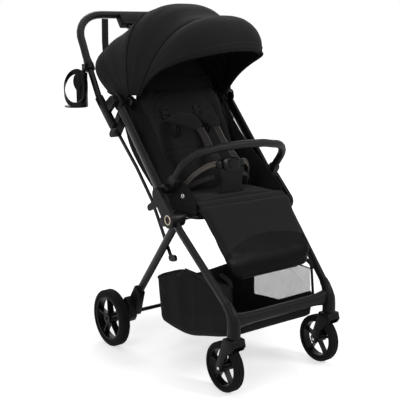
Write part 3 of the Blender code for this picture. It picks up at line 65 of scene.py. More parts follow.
SHIFT = Vector(
    (
        (ring_left[1].x + ring_right[0].x) / 2,
        (ring_left[0].y + ring_left[1].y) / 2 - HUB_Y,
        0.0,
    )
)
SIDES = ((-1, "right"), (1, "left"))


# Materials


class Tree:
    """A short way to add and join nodes in one material or world."""

    def __init__(self, owner):
        owner.use_nodes = True
        self.owner = owner
        self.nodes, self.links = owner.node_tree.nodes, owner.node_tree.links
        kinds = {n.type: n for n in self.nodes}
        self.shader = kinds.get("BSDF_PRINCIPLED") or kinds["BACKGROUND"]
        self.output = kinds.get("OUTPUT_MATERIAL")

    def add(self, kind, inputs=None, **settings):
        node = self.nodes.new("ShaderNode" + kind)
        for key, value in settings.items():
            setattr(node, key, value)
        for key, value in (inputs or {}).items():
            if isinstance(value, bpy.types.NodeSocket):
                self.links.new(value, node.inputs[key])
            else:
                node.inputs[key].default_value = value
        return node

    def math(self, operation, *values):
        return self.add("Math", dict(enumerate(values)), operation=operation).outputs[0]

    def all_by(self, operation, first, *others):
        for value in others:
            first = self.math(operation, first, value)
        return first

    def blend(self, factor, a, b):
        a, b = (v if isinstance(v, bpy.types.NodeSocket) else (*v[:3], 1.0) for v in (a, b))
        return self.add("Mix", {0: factor, 6: a, 7: b}, data_type="RGBA").outputs[2]

    def pick(self, share, a, b):
        return self.add("Mix", {0: share, 2: a, 3: b}, data_type="FLOAT").outputs[0]

    def coordinates(self):
        return self.add("TexCoord").outputs["Object"]

    def axes(self, key="Object"):
        """The x, y and z of the place, or of the direction that the surface faces."""
        return self.add("SeparateXYZ", {0: self.add("TexCoord").outputs[key]}).outputs

    def noise(self, scale, detail):
        return self.add(
            "TexNoise", {"Vector": self.coordinates(), "Scale": scale, "Detail": detail}
        ).outputs["Fac"]

    def bump(self, height, strength, distance, below=None):
        inputs = {"Height": height, "Strength": strength, "Distance": distance}
        if below is not None:
            inputs["Normal"] = below
        return self.add("Bump", inputs).outputs["Normal"]

    def ramp(self, value, low, high, out_low=0.0, out_high=1.0):
        return self.add(
            "MapRange",
            {"Value": value, "From Min": low, "From Max": high, "To Min": out_low, "To Max": out_high},
        ).outputs["Result"]

    def seen(self):
        """1 for what the camera sees, straight, mirrored or through something clear."""
        rays = self.add("LightPath").outputs
        return self.all_by(
            "MAXIMUM", *(rays[f"Is {kind} Ray"] for kind in ("Camera", "Glossy", "Transmission"))
        )

    def crossed(self, pitch):
        """Two crossed thread directions, laid on whichever plane the surface faces."""
        places, facing = self.axes(), self.axes("Normal")
        turn = 2 * math.pi / pitch
        waves = [self.math("SINE", self.math("MULTIPLY", places[i], turn)) for i in range(3)]
        powers = [self.math("POWER", self.math("ABSOLUTE", facing[i]), 4.0) for i in range(3)]
        total = self.all_by("ADD", *powers)
        planes = []
        for i in range(3):
            share = self.math("DIVIDE", powers[i], total)
            planes.append(self.all_by("MULTIPLY", waves[i - 2], waves[i - 1], share))
        return self.all_by("ADD", *planes)

    def finish(self, colour, ground, layers, normal, rough=None):
        """Lays (mask, low, high, share, shade) of a colour over its ground shade, and links all."""
        base = tuple(c * ground for c in colour)
        for mask, low, high, share, shade in layers:
            over = tuple(c * shade for c in colour)
            base = self.blend(self.ramp(mask, low, high, 0.0, share), base, over)
        for key, socket in (("Base Color", base), ("Normal", normal), ("Roughness", rough)):
            if socket is not None:
                self.links.new(socket, self.shader.inputs[key])
        return self.owner


def principled(name, roughness, metallic=0.0, specular=0.5, sheen=0.0):
    """The tree of a new material with these values on its shader."""
    tree = Tree(bpy.data.materials.new(name))
    for key, value in (
        ("Roughness", roughness), ("Metallic", metallic),
        ("Specular IOR Level", specular), ("Sheen Weight", sheen),
    ):
        tree.shader.inputs[key].default_value = value
    return tree


def woven(name, colour, pitch=0.0011, roughness=0.92, sheen=0.05):
    """Plain woven polyester: fine crossed threads, a slight melange and soft cloudy wear."""
    tree = principled(name, roughness, specular=0.08, sheen=sheen)
    threads = tree.crossed(pitch)
    layers = (
        (threads, -0.7, 0.7, 1.0, 1.22),
        (tree.noise(1500.0, 1.0), 0.35, 0.7, 0.45, 1.35),
        (tree.noise(9.0, 3.0), 0.3, 0.7, 0.30, 0.78),
    )
    wrinkles = tree.bump(tree.noise(34.0, 3.0), 0.10, 0.004)
    return tree.finish(colour, 0.78, layers, tree.bump(threads, 0.35, 0.0003, wrinkles))


def grained(name, colour, roughness, scale=520.0, bump=0.25, specular=0.15):
    """Leather-look cover: small irregular cells, with painted shade darkening the creases between them."""
    tree = principled(name, roughness, specular=specular)
    cells = tree.add(
        "TexVoronoi", {"Vector": tree.coordinates(), "Scale": scale}, feature="DISTANCE_TO_EDGE"
    ).outputs["Distance"]
    clouds = tree.noise(14.0, 3.0)
    # The creases between the cells are darker: painted shade.
    return tree.finish(
        colour, 0.72, ((cells, 0.0, 0.12, 1.0, 1.08), (clouds, 0.35, 0.75, 0.35, 1.25)),
        tree.bump(tree.ramp(cells, 0.0, 0.2), bump, 0.0005),
        tree.ramp(clouds, 0.3, 0.7, roughness - 0.06, roughness + 0.08),
    )


def moulded(name, colour, roughness, bump=0.12, specular=0.10):
    """Moulded plastic with a fine spark-eroded texture and rubbed, slightly shinier patches."""
    tree = principled(name, roughness, specular=specular)
    clouds = tree.noise(22.0, 3.0)
    return tree.finish(
        colour, 0.9, ((clouds, 0.3, 0.75, 1.0, 1.18),), tree.bump(tree.noise(1400.0, 2.0), bump, 0.0004),
        tree.ramp(clouds, 0.3, 0.7, roughness + 0.05, roughness - 0.07),
    )


def coated(name, colour, roughness):
    """Satin powder coat on a metal tube: a faint orange peel and a soft gloss."""
    tree = principled(name, roughness, metallic=0.35, specular=0.19)
    clouds = tree.noise(18.0, 2.0)
    return tree.finish(
        colour, 0.92, ((clouds, 0.3, 0.7, 1.0, 1.12),), tree.bump(tree.noise(420.0, 1.0), 0.10, 0.0003),
        tree.ramp(clouds, 0.3, 0.7, roughness - 0.03, roughness + 0.06),
    )


def rubber(name, colour):
    """Foamed rubber tyre: matte, a little dusty, with a fine pebble."""
    tree = principled(name, 0.86, specular=0.10)
    dust = (tree.noise(30.0, 4.0), 0.35, 0.8, 0.5, 1.6)
    return tree.finish(colour, 1.0, (dust,), tree.bump(tree.noise(900.0, 2.0), 0.25, 0.0006))


def ribbed(name, colour):
    """Strap webbing: close ribs across the strap and a silky sheen."""
    tree = principled(name, 0.62, specular=0.14, sheen=0.06)
    threads = tree.crossed(0.0016)
    layers = ((threads, -0.6, 0.6, 1.0, 1.25), (tree.noise(700.0, 1.0), 0.4, 0.7, 0.4, 1.4))
    return tree.finish(colour, 0.7, layers, tree.bump(threads, 0.6, 0.0005))


def polished(name, colour, roughness):
    """Bare metal with faint streaks."""
    tree = principled(name, roughness, metallic=1.0)
    streaks = tree.noise(260.0, 2.0)
    return tree.finish(
        colour, 0.9, ((streaks, 0.3, 0.7, 1.0, 1.05),), tree.bump(streaks, 0.05, 0.0002)
    )


NET_PITCH = 0.0022
# The near (right) side's nets and basket window take the larger thread share, so they read dark: painted
# shade standing in for the basket's shaded inside.
LOOSE, SHADE_THREADS = 0.20, 0.66


def open_cells(tree, thread):
    """1 in a net's open cells, 0 on its threads, which take this share of the pitch.

    The threads go up and down, and along the wall.
    """
    places = tree.axes()
    sideways = tree.math("GREATER_THAN", tree.math("ABSOLUTE", tree.axes("Normal")[0]), 0.6)
    shares = []
    for run in (tree.pick(sideways, places[0], places[1]), places[2]):
        step = tree.math("FRACT", tree.math("DIVIDE", run, NET_PITCH))
        shares.append(tree.math("GREATER_THAN", step, thread))
    return tree.all_by("MULTIPLY", *shares)


def see_through(tree, share):
    """Lets light straight through where share is 1."""
    clear = tree.add("BsdfTransparent").outputs[0]
    mixed = tree.add("MixShader", {0: share, 1: tree.shader.outputs[0], 2: clear}).outputs[0]
    tree.links.new(mixed, tree.output.inputs["Surface"])


def netting(name, colour, thread):
    """Woven net: flat threads of one colour, with light straight through the cells between them."""
    tree = principled(name, 0.8, specular=0.2)
    tree.shader.inputs["Base Color"].default_value = (*colour, 1.0)
    see_through(tree, open_cells(tree, thread))
    return tree.owner


def windowed(material):
    """Opens the side windows in the basket's cloth, above a line that falls and then runs level."""
    front, rear, half_width = -0.226, 0.022, 0.138
    bend_y, bend_z, steep_slope, level_slope = -0.094, 0.154, -0.464, -0.101
    tree = Tree(material)
    places = tree.axes()
    x = tree.math("SUBTRACT", places[0], SHIFT.x)
    y = tree.math("SUBTRACT", places[1], SHIFT.y)
    lines = [
        tree.math("MULTIPLY_ADD", y, slope, bend_z - slope * bend_y)
        for slope in (steep_slope, level_slope)
    ]
    inside = tree.all_by(
        "MULTIPLY",
        tree.math("GREATER_THAN", places[2], tree.math("MAXIMUM", *lines)),
        tree.math("LESS_THAN", y, rear),
        tree.math("GREATER_THAN", y, front),
        tree.math("GREATER_THAN", tree.math("ABSOLUTE", x), half_width),
    )
    left = tree.math("GREATER_THAN", x, 0.0)
    # The near (right) side's window is the denser one: painted shade.
    cells = tree.pick(left, open_cells(tree, SHADE_THREADS), open_cells(tree, LOOSE))
    see_through(tree, tree.math("MULTIPLY", inside, cells))
    return material


FABRIC = woven("woven_charcoal", (0.0170, 0.0170, 0.0177))
LINING = woven("woven_lining", (0.0045, 0.0045, 0.0048), pitch=0.0013, sheen=0.01)
BINDING = woven("woven_binding", (0.0110, 0.0110, 0.0116), pitch=0.0009, sheen=0.03)
SIDE_FABRIC = woven("woven_side", (0.0140, 0.0140, 0.0148), pitch=0.0012, sheen=0.03)
BASKET_FABRIC = windowed(
    woven("woven_basket", (0.0120, 0.0120, 0.0126), pitch=0.0014, sheen=0.03, roughness=0.8)
)
THREAD = woven("sewing_thread", (0.034, 0.034, 0.036), pitch=0.0006)
LEATHER = grained("leather_black", (0.0070, 0.0068, 0.0068), 0.42)
LEATHER_GLOSS = grained(
    "leather_footrest", (0.0012, 0.0012, 0.0014), 0.36, scale=620.0, bump=0.08, specular=0.06
)
TUBE = coated("powder_coat", (0.0085, 0.0085, 0.0090), 0.32)
CASTING = moulded("casting_satin", (0.0070, 0.0070, 0.0074), 0.36)
PLASTIC = moulded("plastic_black", (0.0040, 0.0040, 0.0043), 0.42)
GLOSS = moulded("plastic_gloss", (0.0045, 0.0045, 0.0048), 0.22, bump=0.04, specular=0.14)
TYRE = rubber("tyre_rubber", (0.0085, 0.0085, 0.0087))
RIM = moulded("rim_plastic", (0.0045, 0.0045, 0.0048), 0.34, bump=0.08)
RING = polished("ring_champagne", (0.36, 0.30, 0.235), 0.36)
STEEL = polished("steel", (0.55, 0.55, 0.56), 0.25)
WEBBING = ribbed("webbing_black", (0.0080, 0.0080, 0.0080))
WEBBING_BROWN = ribbed("webbing_brown", (0.017, 0.0145, 0.0145))
# A much lighter copy of the brown webbing, for the waist belt: painted highlight.
WEBBING_PAINTED_LIT = ribbed("webbing_painted_lit", (0.170, 0.150, 0.132))
# Painted highlight: a pale cord material laid along the webbings' edges.
WEBBING_HIGHLIGHT_PAINT = ribbed("webbing_painted_highlight", (0.22, 0.19, 0.165))
NET = netting("basket_net", (0.012, 0.012, 0.012), LOOSE)
# The near side's denser, darker net: painted shade.
NET_PAINTED_SHADE = netting("basket_net_painted_shade", (0.010, 0.010, 0.010), SHADE_THREADS)


# Shapes


def lay(bm, rows, closed=False, ring=False):
    """Adds faces through rows; closed joins each row's ends, ring the last row to the first."""
    verts = [[bm.verts.new(p) for p in row] for row in rows]
    for a, b in zip(verts, verts[1:] + verts[:1] if ring else verts[1:]):
        for j in range(len(a) if closed else len(a) - 1):
            n = (j + 1) % len(a)
            bm.faces.new((a[j], a[n], b[n], b[j]))
    return verts


def rings(loops, bm=None):
    """A closed body through rings of points."""
    bm = bm or bmesh.new()
    verts = lay(bm, loops, closed=True)
    bm.faces.new(verts[0])
    bm.faces.new(verts[-1])
    return bm


def shell(top, low, low_slot=0):
    """A closed body between two grids of points; low_slot is the material slot of the second."""
    bm = bmesh.new()
    top = lay(bm, top)
    count = len(bm.faces)
    low = lay(bm, low)
    for face in list(bm.faces)[count:]:
        face.material_index = low_slot
    m, n = len(top), len(top[0])
    edge = [(0, j) for j in range(n)] + [(i, n - 1) for i in range(1, m)]
    edge += [(m - 1, j) for j in range(n - 2, -1, -1)] + [(i, 0) for i in range(m - 2, 0, -1)]
    for (i, j), (k, h) in zip(edge, edge[1:] + edge[:1]):
        bm.faces.new((top[i][j], top[k][h], low[k][h], low[i][j]))
    return bm


def finish_mesh(name, bm, material, smooth=True):
    """Turns a bmesh in the stroller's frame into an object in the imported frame."""
    bmesh.ops.recalc_face_normals(bm, faces=bm.faces)
    mesh = bpy.data.meshes.new(name)
    bm.to_mesh(mesh)
    bm.free()
    mesh.transform(Matrix.Translation(SHIFT))
    if smooth:
        mesh.polygons.foreach_set("use_smooth", [True] * len(mesh.polygons))
    obj = bpy.data.objects.new(name, mesh)
    bpy.context.scene.collection.objects.link(obj)
    mesh.materials.append(material)
    return obj


def sharpen(obj, angle=35.0):
    obj.data.set_sharp_from_angle(angle=math.radians(angle))
    return obj


def modify(obj, kind, **settings):
    modifier = obj.modifiers.new(kind.lower(), kind)
    for key, value in settings.items():
        setattr(modifier, key, value)
    return modifier


def apply_all(obj):
    """Replaces the mesh by what its modifiers make of it."""
    bpy.context.view_layer.update()
    graph = bpy.context.evaluated_depsgraph_get()
    mesh = bpy.data.meshes.new_from_object(obj.evaluated_get(graph))
    obj.modifiers.clear()
    old = obj.data
    obj.data = mesh
    bpy.data.meshes.remove(old)
    return obj


def place(point):
    """A point of the stroller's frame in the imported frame."""
    return Vector(point) + SHIFT


def mirrored(side, points):
    """Points written for the left side, on either side."""
    return [Vector((side * x, y, z)) for x, y, z in points]


def curve_through(points, steps=8):
    """A smooth line through the points, each span cut into steps."""
    pts = [Vector(p) for p in points]
    pts = [pts[0] * 2 - pts[1]] + pts + [pts[-1] * 2 - pts[-2]]
    out = []
    for a, b, c, d in zip(pts, pts[1:], pts[2:], pts[3:]):
        second, third = 2 * a - 5 * b + 4 * c - d, 3 * b - a - 3 * c + d
        for t in (k / steps for k in range(steps)):
            out.append(0.5 * ((2 * b) + (c - a) * t + second * t * t + third * t**3))
    out.append(pts[-2])
    return out


def line_yz(points, steps):
    """A smooth line in the middle plane through (y, z) points."""
    return curve_through([(0, y, z) for y, z in points], steps)


def smooth_values(stations, at):
    """Values of a table at new stations, along a smooth curve with no overshoot."""
    x = np.array([s[0] for s in stations], float)
    y = np.array([s[1:] for s in stations], float)
    at = np.clip(np.atleast_1d(at), x[0], x[-1])
    slope = np.gradient(y, x, axis=0)
    i = np.clip(np.searchsorted(x, at) - 1, 0, len(x) - 2)
    h = (x[i + 1] - x[i])[:, None]
    t = ((at - x[i]) / (x[i + 1] - x[i]))[:, None]
    return (
        (2 * t**3 - 3 * t**2 + 1) * y[i]
        + (t**3 - 2 * t**2 + t) * h * slope[i]
        + (-2 * t**3 + 3 * t**2) * y[i + 1]
        + (t**3 - t**2) * h * slope[i + 1]
    )


def value_at(stations, at):
    """One value of a two-column table."""
    return float(smooth_values(stations, [at])[0][0])


def bar(name, path, half_w, half_t, across, material, power, sides=20):
    """A body of rounded section along a path; half_w and half_t may change along it."""
    pts = [Vector(p) for p in path]
    loops = []
    last = len(pts) - 1
    for i, p in enumerate(pts):
        tangent = (pts[min(i + 1, last)] - pts[max(i - 1, 0)]).normalized()
        a = Vector(across)
        a = (a - tangent * a.dot(tangent)).normalized()
        b = tangent.cross(a).normalized()
        w = half_w(i / last) if callable(half_w) else half_w
        t = half_t(i / last) if callable(half_t) else half_t
        loop = []
        for k in range(sides):
            turn = 2 * math.pi * (k + 0.5) / sides
            c, s = math.cos(turn), math.sin(turn)
            loop.append(
                p
                + a * (w * math.copysign(abs(c) ** (2 / power), c))
                + b * (t * math.copysign(abs(s) ** (2 / power), s))
            )
        loops.append(loop)
    return finish_mesh(name, rings(loops), material)


def strip(name, path, width, thickness, across, material):
    """A flat strap or band along a path."""
    return bar(name, path, width / 2, thickness / 2, across, material, 5.0, 16)


def cord_tube(name, path, radius, material, sides=10, closed=False):
    """A round line along a path, such as piping or a hem."""
    pts = [Vector(p) for p in path]
    last = len(pts) - 1
    loops = []
    normal = None
    for i, p in enumerate(pts):
        after = (i + 1) % len(pts) if closed else min(i + 1, last)
        before = i - 1 if closed else max(i - 1, 0)
        tangent = (pts[after] - pts[before]).normalized()
        if normal is None:
            normal = tangent.orthogonal().normalized()
        normal = (normal - tangent * normal.dot(tangent)).normalized()
        other = tangent.cross(normal)
        turns = [2 * math.pi * k / sides for k in range(sides)]
        loops.append(
            [p + normal * (radius * math.cos(a)) + other * (radius * math.sin(a)) for a in turns]
        )
    if not closed:
        return finish_mesh(name, rings(loops), material)
    bm = bmesh.new()
    lay(bm, loops, closed=True, ring=True)
    return finish_mesh(name, bm, material)


def around_x(centre, off, radius, turn):
    """The point off along the line along x through centre, at this radius and turn from it."""
    return Vector(centre) + Vector((off, radius * math.cos(turn), radius * math.sin(turn)))


def disc_stack(name, profile, centre, material, segments=48, direction=1):
    """A turned body with closed ends; profile is (offset along x, radius), from one end to the other."""
    turns = [2 * math.pi * k / segments for k in range(segments)]
    loops = [[around_x(centre, direction * off, r, a) for a in turns] for off, r in profile]
    return finish_mesh(name, rings(loops), material)


def mesh_arrays(mesh):
    """The points and normals of a mesh, as two arrays."""
    arrays = []
    for key in ("co", "normal"):
        values = np.empty(len(mesh.vertices) * 3)
        mesh.vertices.foreach_get(key, values)
        arrays.append(values.reshape(-1, 3))
    return arrays


def move_points(mesh, points):
    mesh.vertices.foreach_set("co", points.ravel())
    mesh.update()


def groove(obj, lines, width, depth, facing):
    """Presses sewn seams into a mesh: each line is a list of points in the stroller's frame."""
    co, no = mesh_arrays(obj.data)
    closest = np.full(len(co), 1e9)
    for line in lines:
        pts = np.array([place(p) for p in line])
        for a, b in zip(pts, pts[1:]):
            d = b - a
            t = np.clip(((co - a) @ d) / max(d @ d, 1e-12), 0, 1)
            closest = np.minimum(closest, np.linalg.norm(co - (a + t[:, None] * d), axis=1))
    push = depth * np.exp(-((closest / width) ** 2)) * np.clip(no @ np.array(facing), 0, 1)
    move_points(obj.data, co - no * push[:, None])


def ripple(obj, amount, scale, seed):
    """Soft uneven waves, so that cloth isn't perfectly smooth."""
    co, no = mesh_arrays(obj.data)
    offset = Vector((seed, seed, seed))
    waves = [amount * noise.noise((Vector(point) - SHIFT) * scale + offset) for point in co]
    move_points(obj.data, co + no * np.array(waves)[:, None])


PUFF_FRAMES = 20


def puff(obj, voxel, pressure, cap):
    """Fills a pad with cloth simulation: pressure swells it, and no point moves further than cap."""
    modify(obj, "REMESH", mode="VOXEL", voxel_size=voxel, use_smooth_shade=True)
    apply_all(obj)
    start = mesh_arrays(obj.data)[0]
    cloth = modify(obj, "CLOTH")
    for key, value in (
        ("quality", 5), ("use_pressure", True), ("uniform_pressure_force", pressure),
        ("tension_stiffness", 15), ("compression_stiffness", 15), ("bending_stiffness", 1.0),
    ):
        setattr(cloth.settings, key, value)
    cloth.settings.effector_weights.gravity = 0.0
    cloth.collision_settings.use_collision = False
    scene = bpy.context.scene
    for number in range(1, PUFF_FRAMES + 1):
        scene.frame_set(number)
    moved = obj.evaluated_get(bpy.context.evaluated_depsgraph_get())
    shift = mesh_arrays(moved.to_mesh())[0] - start
    moved.to_mesh_clear()
    obj.modifiers.clear()
    scene.frame_set(1)
    length = np.linalg.norm(shift, axis=1)
    scale = cap * np.tanh(length / cap) / np.maximum(length, 1e-9)
    move_points(obj.data, start + shift * scale[:, None])
    modify(obj, "SUBSURF", levels=1, render_levels=1)
    apply_all(obj)
    obj.data.polygons.foreach_set("use_smooth", [True] * len(obj.data.polygons))


# Camera, light and floor


def add_object(name, data, location, target):
    """Adds a camera or a light that looks at target."""
    obj = bpy.data.objects.new(name, data)
    bpy.context.scene.collection.objects.link(obj)
    obj.location = location
    obj.rotation_euler = (Vector(target) - Vector(location)).to_track_quat("-Z", "Y").to_euler()
    return obj


def make_camera():
    data = bpy.data.cameras.new("camera")
    data.lens = 74.74
    data.sensor_width = 36.0
    bpy.context.scene.camera = add_object(
        "camera", data, place((-1.48493, -1.86134, 0.95896)), place((-0.0521, 0.0393, 0.4626))
    )


def make_lights():
    for name, location, height, size, power in (
        ("key", (1.5, -2.7, 2.5), 0.5, 1.2, 44),
        ("fill", (-2.6, -1.5, 1.9), 0.5, 1.6, 26),
        ("back", (1.0, 2.4, 2.6), 0.6, 1.8, 34),
        ("top", (0.0, -0.1, 3.2), 0.5, 2.4, 20),
    ):
        data = bpy.data.lights.new(name, "AREA")
        data.shape = "DISK"
        data.size = size
        data.energy = power
        add_object(name, data, location, (0, 0, height))


def make_world():
    """White for the camera, and a weak even light for everything else."""
    tree = Tree(bpy.data.worlds.new("studio"))
    tree.shader.inputs["Color"].default_value = (1.0, 1.0, 1.0, 1.0)
    tree.links.new(tree.ramp(tree.seen(), 0.0, 1.0, 0.16, 1.0), tree.shader.inputs["Strength"])
    bpy.context.scene.world = tree.owner


def make_floor():
    """White where no shadow falls: part of its white is its own, and the rest is the light on it."""
    half, drop = 40, 0.0008
    bm = bmesh.new()
    lay(bm, [[(x, y, -drop) for x in (-half, half)] for y in (-half, half)])
    tree = principled("floor_white", 0.9, specular=0.0)
    tree.shader.inputs["Base Color"].default_value = (0.78, 0.78, 0.78, 1.0)
    reach = tree.add("VectorMath", {0: tree.coordinates()}, operation="LENGTH").outputs["Value"]
    own = tree.ramp(reach, 0.8, 3.0, 0.62, 1.0)
    glow = tree.add(
        "Emission", {"Color": (1.0, 1.0, 1.0, 1.0), "Strength": tree.math("MULTIPLY", tree.seen(), own)}
    )
    both = tree.add("AddShader", {0: tree.shader.outputs[0], 1: glow.outputs[0]})
    tree.links.new(both.outputs[0], tree.output.inputs["Surface"])
    finish_mesh("floor", bm, tree.owner, smooth=False)


bpy.context.scene.view_settings.view_transform = "Standard"
make_camera()
make_lights()
make_world()
make_floor()


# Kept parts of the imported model: softened edges and real finishes

MERGE = 0.00002
SHARP_ANGLE = 40
BEVEL_ANGLE = 38


def soften_group():
    """Joins the loose corners of an imported solid and shades it smooth up to its sharp edges."""
    group = bpy.data.node_groups.new("soften", "GeometryNodeTree")
    for way in ("INPUT", "OUTPUT"):
        group.interface.new_socket("Geometry", in_out=way, socket_type="NodeSocketGeometry")
    start, merge, faces, edges, angle, sharp, end = (
        group.nodes.new(kind)
        for kind in (
            "NodeGroupInput", "GeometryNodeMergeByDistance", "GeometryNodeSetShadeSmooth",
            "GeometryNodeSetShadeSmooth", "GeometryNodeInputMeshEdgeAngle", "FunctionNodeCompare",
            "NodeGroupOutput",
        )
    )
    faces.domain, edges.domain = "FACE", "EDGE"
    sharp.data_type, sharp.operation = "FLOAT", "GREATER_THAN"
    merge.inputs["Distance"].default_value = MERGE
    edges.inputs["Shade Smooth"].default_value = False
    sharp.inputs[1].default_value = math.radians(SHARP_ANGLE)
    for output, entry in (
        (start.outputs[0], merge.inputs[0]),
        (merge.outputs[0], faces.inputs["Geometry"]),
        (faces.outputs[0], edges.inputs["Geometry"]),
        (angle.outputs["Unsigned Angle"], sharp.inputs[0]),
        (sharp.outputs[0], edges.inputs["Selection"]),
        (edges.outputs[0], end.inputs[0]),
    ):
        group.links.new(output, entry)
    return group


SOFTEN = soften_group()


def dress(node, material, width):
    """Gives a kept solid its finish, with its edges rounded by width where that isn't 0."""
    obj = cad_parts[node]
    for slot in obj.material_slots:
        slot.link = "OBJECT"
        slot.material = material
    modify(obj, "NODES", node_group=SOFTEN)
    if width:
        modify(
            obj, "BEVEL", width=width, segments=2, limit_method="ANGLE",
            angle_limit=math.radians(BEVEL_ANGLE), harden_normals=True, use_clamp_overlap=True,
        )


for material, width, words in (
    (TUBE, 0.0, "upper_tube_* rear_leg_* side_stay_* handle_tube_*"),
    (TUBE, 0.0, "rear_axle_bar seat_rail leg_rest_frame backrest_frame"),
    (TUBE, 0.0007, "front_leg_*"),
    (CASTING, 0.0, "front_frame"),
    (CASTING, 0.0007, "sleeve_* top_cap_* hub_cover_*"),
    (RING, 0.0, "hub_ring_*"),
    (PLASTIC, 0.0, "fold_housing"),
    (PLASTIC, 0.0007, "rear_foot_* caster_fork_* brake_pedal cup_clamp"),
    (GLOSS, 0.0004, "bumper_button_* safety_button buckle buckle_button"),
    (GLOSS, 0.0005, "cup_holder"),
    (GLOSS, 0.0007, "fold_trigger"),
    (LEATHER, 0.0, "handle_grip bumper_bar"),
):
    for word in words.split():
        for node in sorted({word.replace("*", side) for _, side in SIDES}):
            dress(node, material, width)


# Canopy

CANOPY_Y, CANOPY_Z = 0.1976, 0.7445
CANOPY_START = 0.020
CANOPY_CUT = 28.0
REAR_BOWS = (
    (7, 0.200, 0.178, 5.0), (20, 0.273, 0.187, 6.0), (39, 0.270, 0.189, 4.2),
    (60, 0.252, 0.190, 3.2), (80.3, 0.272, 0.190, 2.76),
)
MIDDLE_BOWS = (
    (80.3, 0.272, 0.190, 2.76), (92, 0.282, 0.184, 2.7), (102, 0.278, 0.178, 2.65),
    (112, 0.269, 0.172, 2.6), (121.9, 0.278, 0.168, 2.54),
)
FRONT_BOWS = (
    (121.9, 0.278, 0.168, 2.54), (128, 0.312, 0.167, 2.5), (136, 0.338, 0.166, 2.5),
    (145, 0.344, 0.165, 2.5), (152.1, 0.325, 0.164, 2.55),
)
BOWS = {"rear": REAR_BOWS, "middle": MIDDLE_BOWS, "front": FRONT_BOWS}


def bow(angle, reach, half, power, count=73, scale=1.0):
    """A canopy bow: it leaves the right pivot, arches over and ends at the left one.

    The front panel's sides are cut back, up to CANOPY_CUT degrees at its hem.
    """
    first, last = FRONT_BOWS[0][0], FRONT_BOWS[-1][0]
    cut_back = CANOPY_CUT * min(1.0, max(0.0, (angle - first) / (last - first)))
    points = []
    for i in range(count):
        turn = math.pi * i / (count - 1)
        h = math.sin(turn) ** (2 / power)
        x = -math.copysign(abs(math.cos(turn)) ** (2 / power), math.cos(turn)) * half * scale
        lean = math.radians(angle - cut_back * (1 - h) ** 1.5)
        h = (CANOPY_START / reach + (1 - CANOPY_START / reach) * h) * scale * reach
        points.append(Vector((x, CANOPY_Y + h * math.cos(lean), CANOPY_Z + h * math.sin(lean))))
    return points


def panel_rows(bows, steps, seed, pull=0.0016, scale=1.0, pleats=0.0):
    """A panel between bows: pull is the depth of its waves, pleats that of its gathers at the sides."""
    angles = np.linspace(bows[0][0], bows[-1][0], steps)
    rows = []
    for n, (angle, (reach, half, power)) in enumerate(zip(angles, smooth_values(bows, angles))):
        row = bow(angle, reach, half, power, scale=scale)
        edge = math.sin(math.pi * (n / (steps - 1)))
        for i, p in enumerate(row):
            turn = math.pi * i / (len(row) - 1)
            low = abs(math.cos(turn)) ** 1.5
            away = Vector((p.x * 0.6, p.y - CANOPY_Y, p.z - CANOPY_Z)).normalized()
            wave = noise.noise(Vector((angle * 0.16 + seed, turn * 0.9, seed)))
            fine = noise.noise(Vector((angle * 0.5 + seed, turn * 2.2, seed + 3)))
            p += away * (edge * (pull * wave * (0.5 + 1.2 * low) + 0.45 * pull * fine))
            if pleats:
                swing = 0.5 + 0.5 * math.sin(angle * 0.9 + 2.5 * fine)
                p -= away * (pleats * low * swing * edge ** 0.5)
        rows.append(row)
    return rows


def points_of(rows):
    return np.array([[tuple(p) for p in row] for row in rows])


def solid_sheet(name, rows, thickness, middle, outside, inside=None):
    """A closed cloth sheet through rows of points: its inner face is drawn towards middle(point)."""
    pts = points_of(rows)
    normal = np.cross(np.gradient(pts, axis=1), np.gradient(pts, axis=0))
    normal /= np.maximum(np.linalg.norm(normal, axis=2, keepdims=True), 1e-9)
    centre = points_of([[middle(Vector(p)) for p in row] for row in pts])
    flip = np.sign(np.sum(normal * (pts - centre), axis=2, keepdims=True))
    flip[flip == 0] = 1
    obj = finish_mesh(name, shell(pts, pts - normal * flip * thickness, 1 if inside else 0), outside)
    if inside:
        obj.data.materials.append(inside)
    return obj


def middle_plane(p):
    return Vector((0, p.y, p.z))


def sheet(name, rows, thickness, middle, material, held, rests_on, inside=None):
    """A cloth sheet through rows of points."""
    obj = solid_sheet(name, rows, thickness, middle, material, inside)
    return obj


def canopy_inside(p):
    return Vector((p.x * 0.3, CANOPY_Y, CANOPY_Z + 0.02))


def follow(piece, part):
    """Moves a piece with the canopy's middle panel; a rear or front piece only has its place baked into its
    mesh.
    """
    if part == "rear":
        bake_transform(piece)
    elif part == "front":
        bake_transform(piece)
    else:
        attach(piece, "canopy_middle")


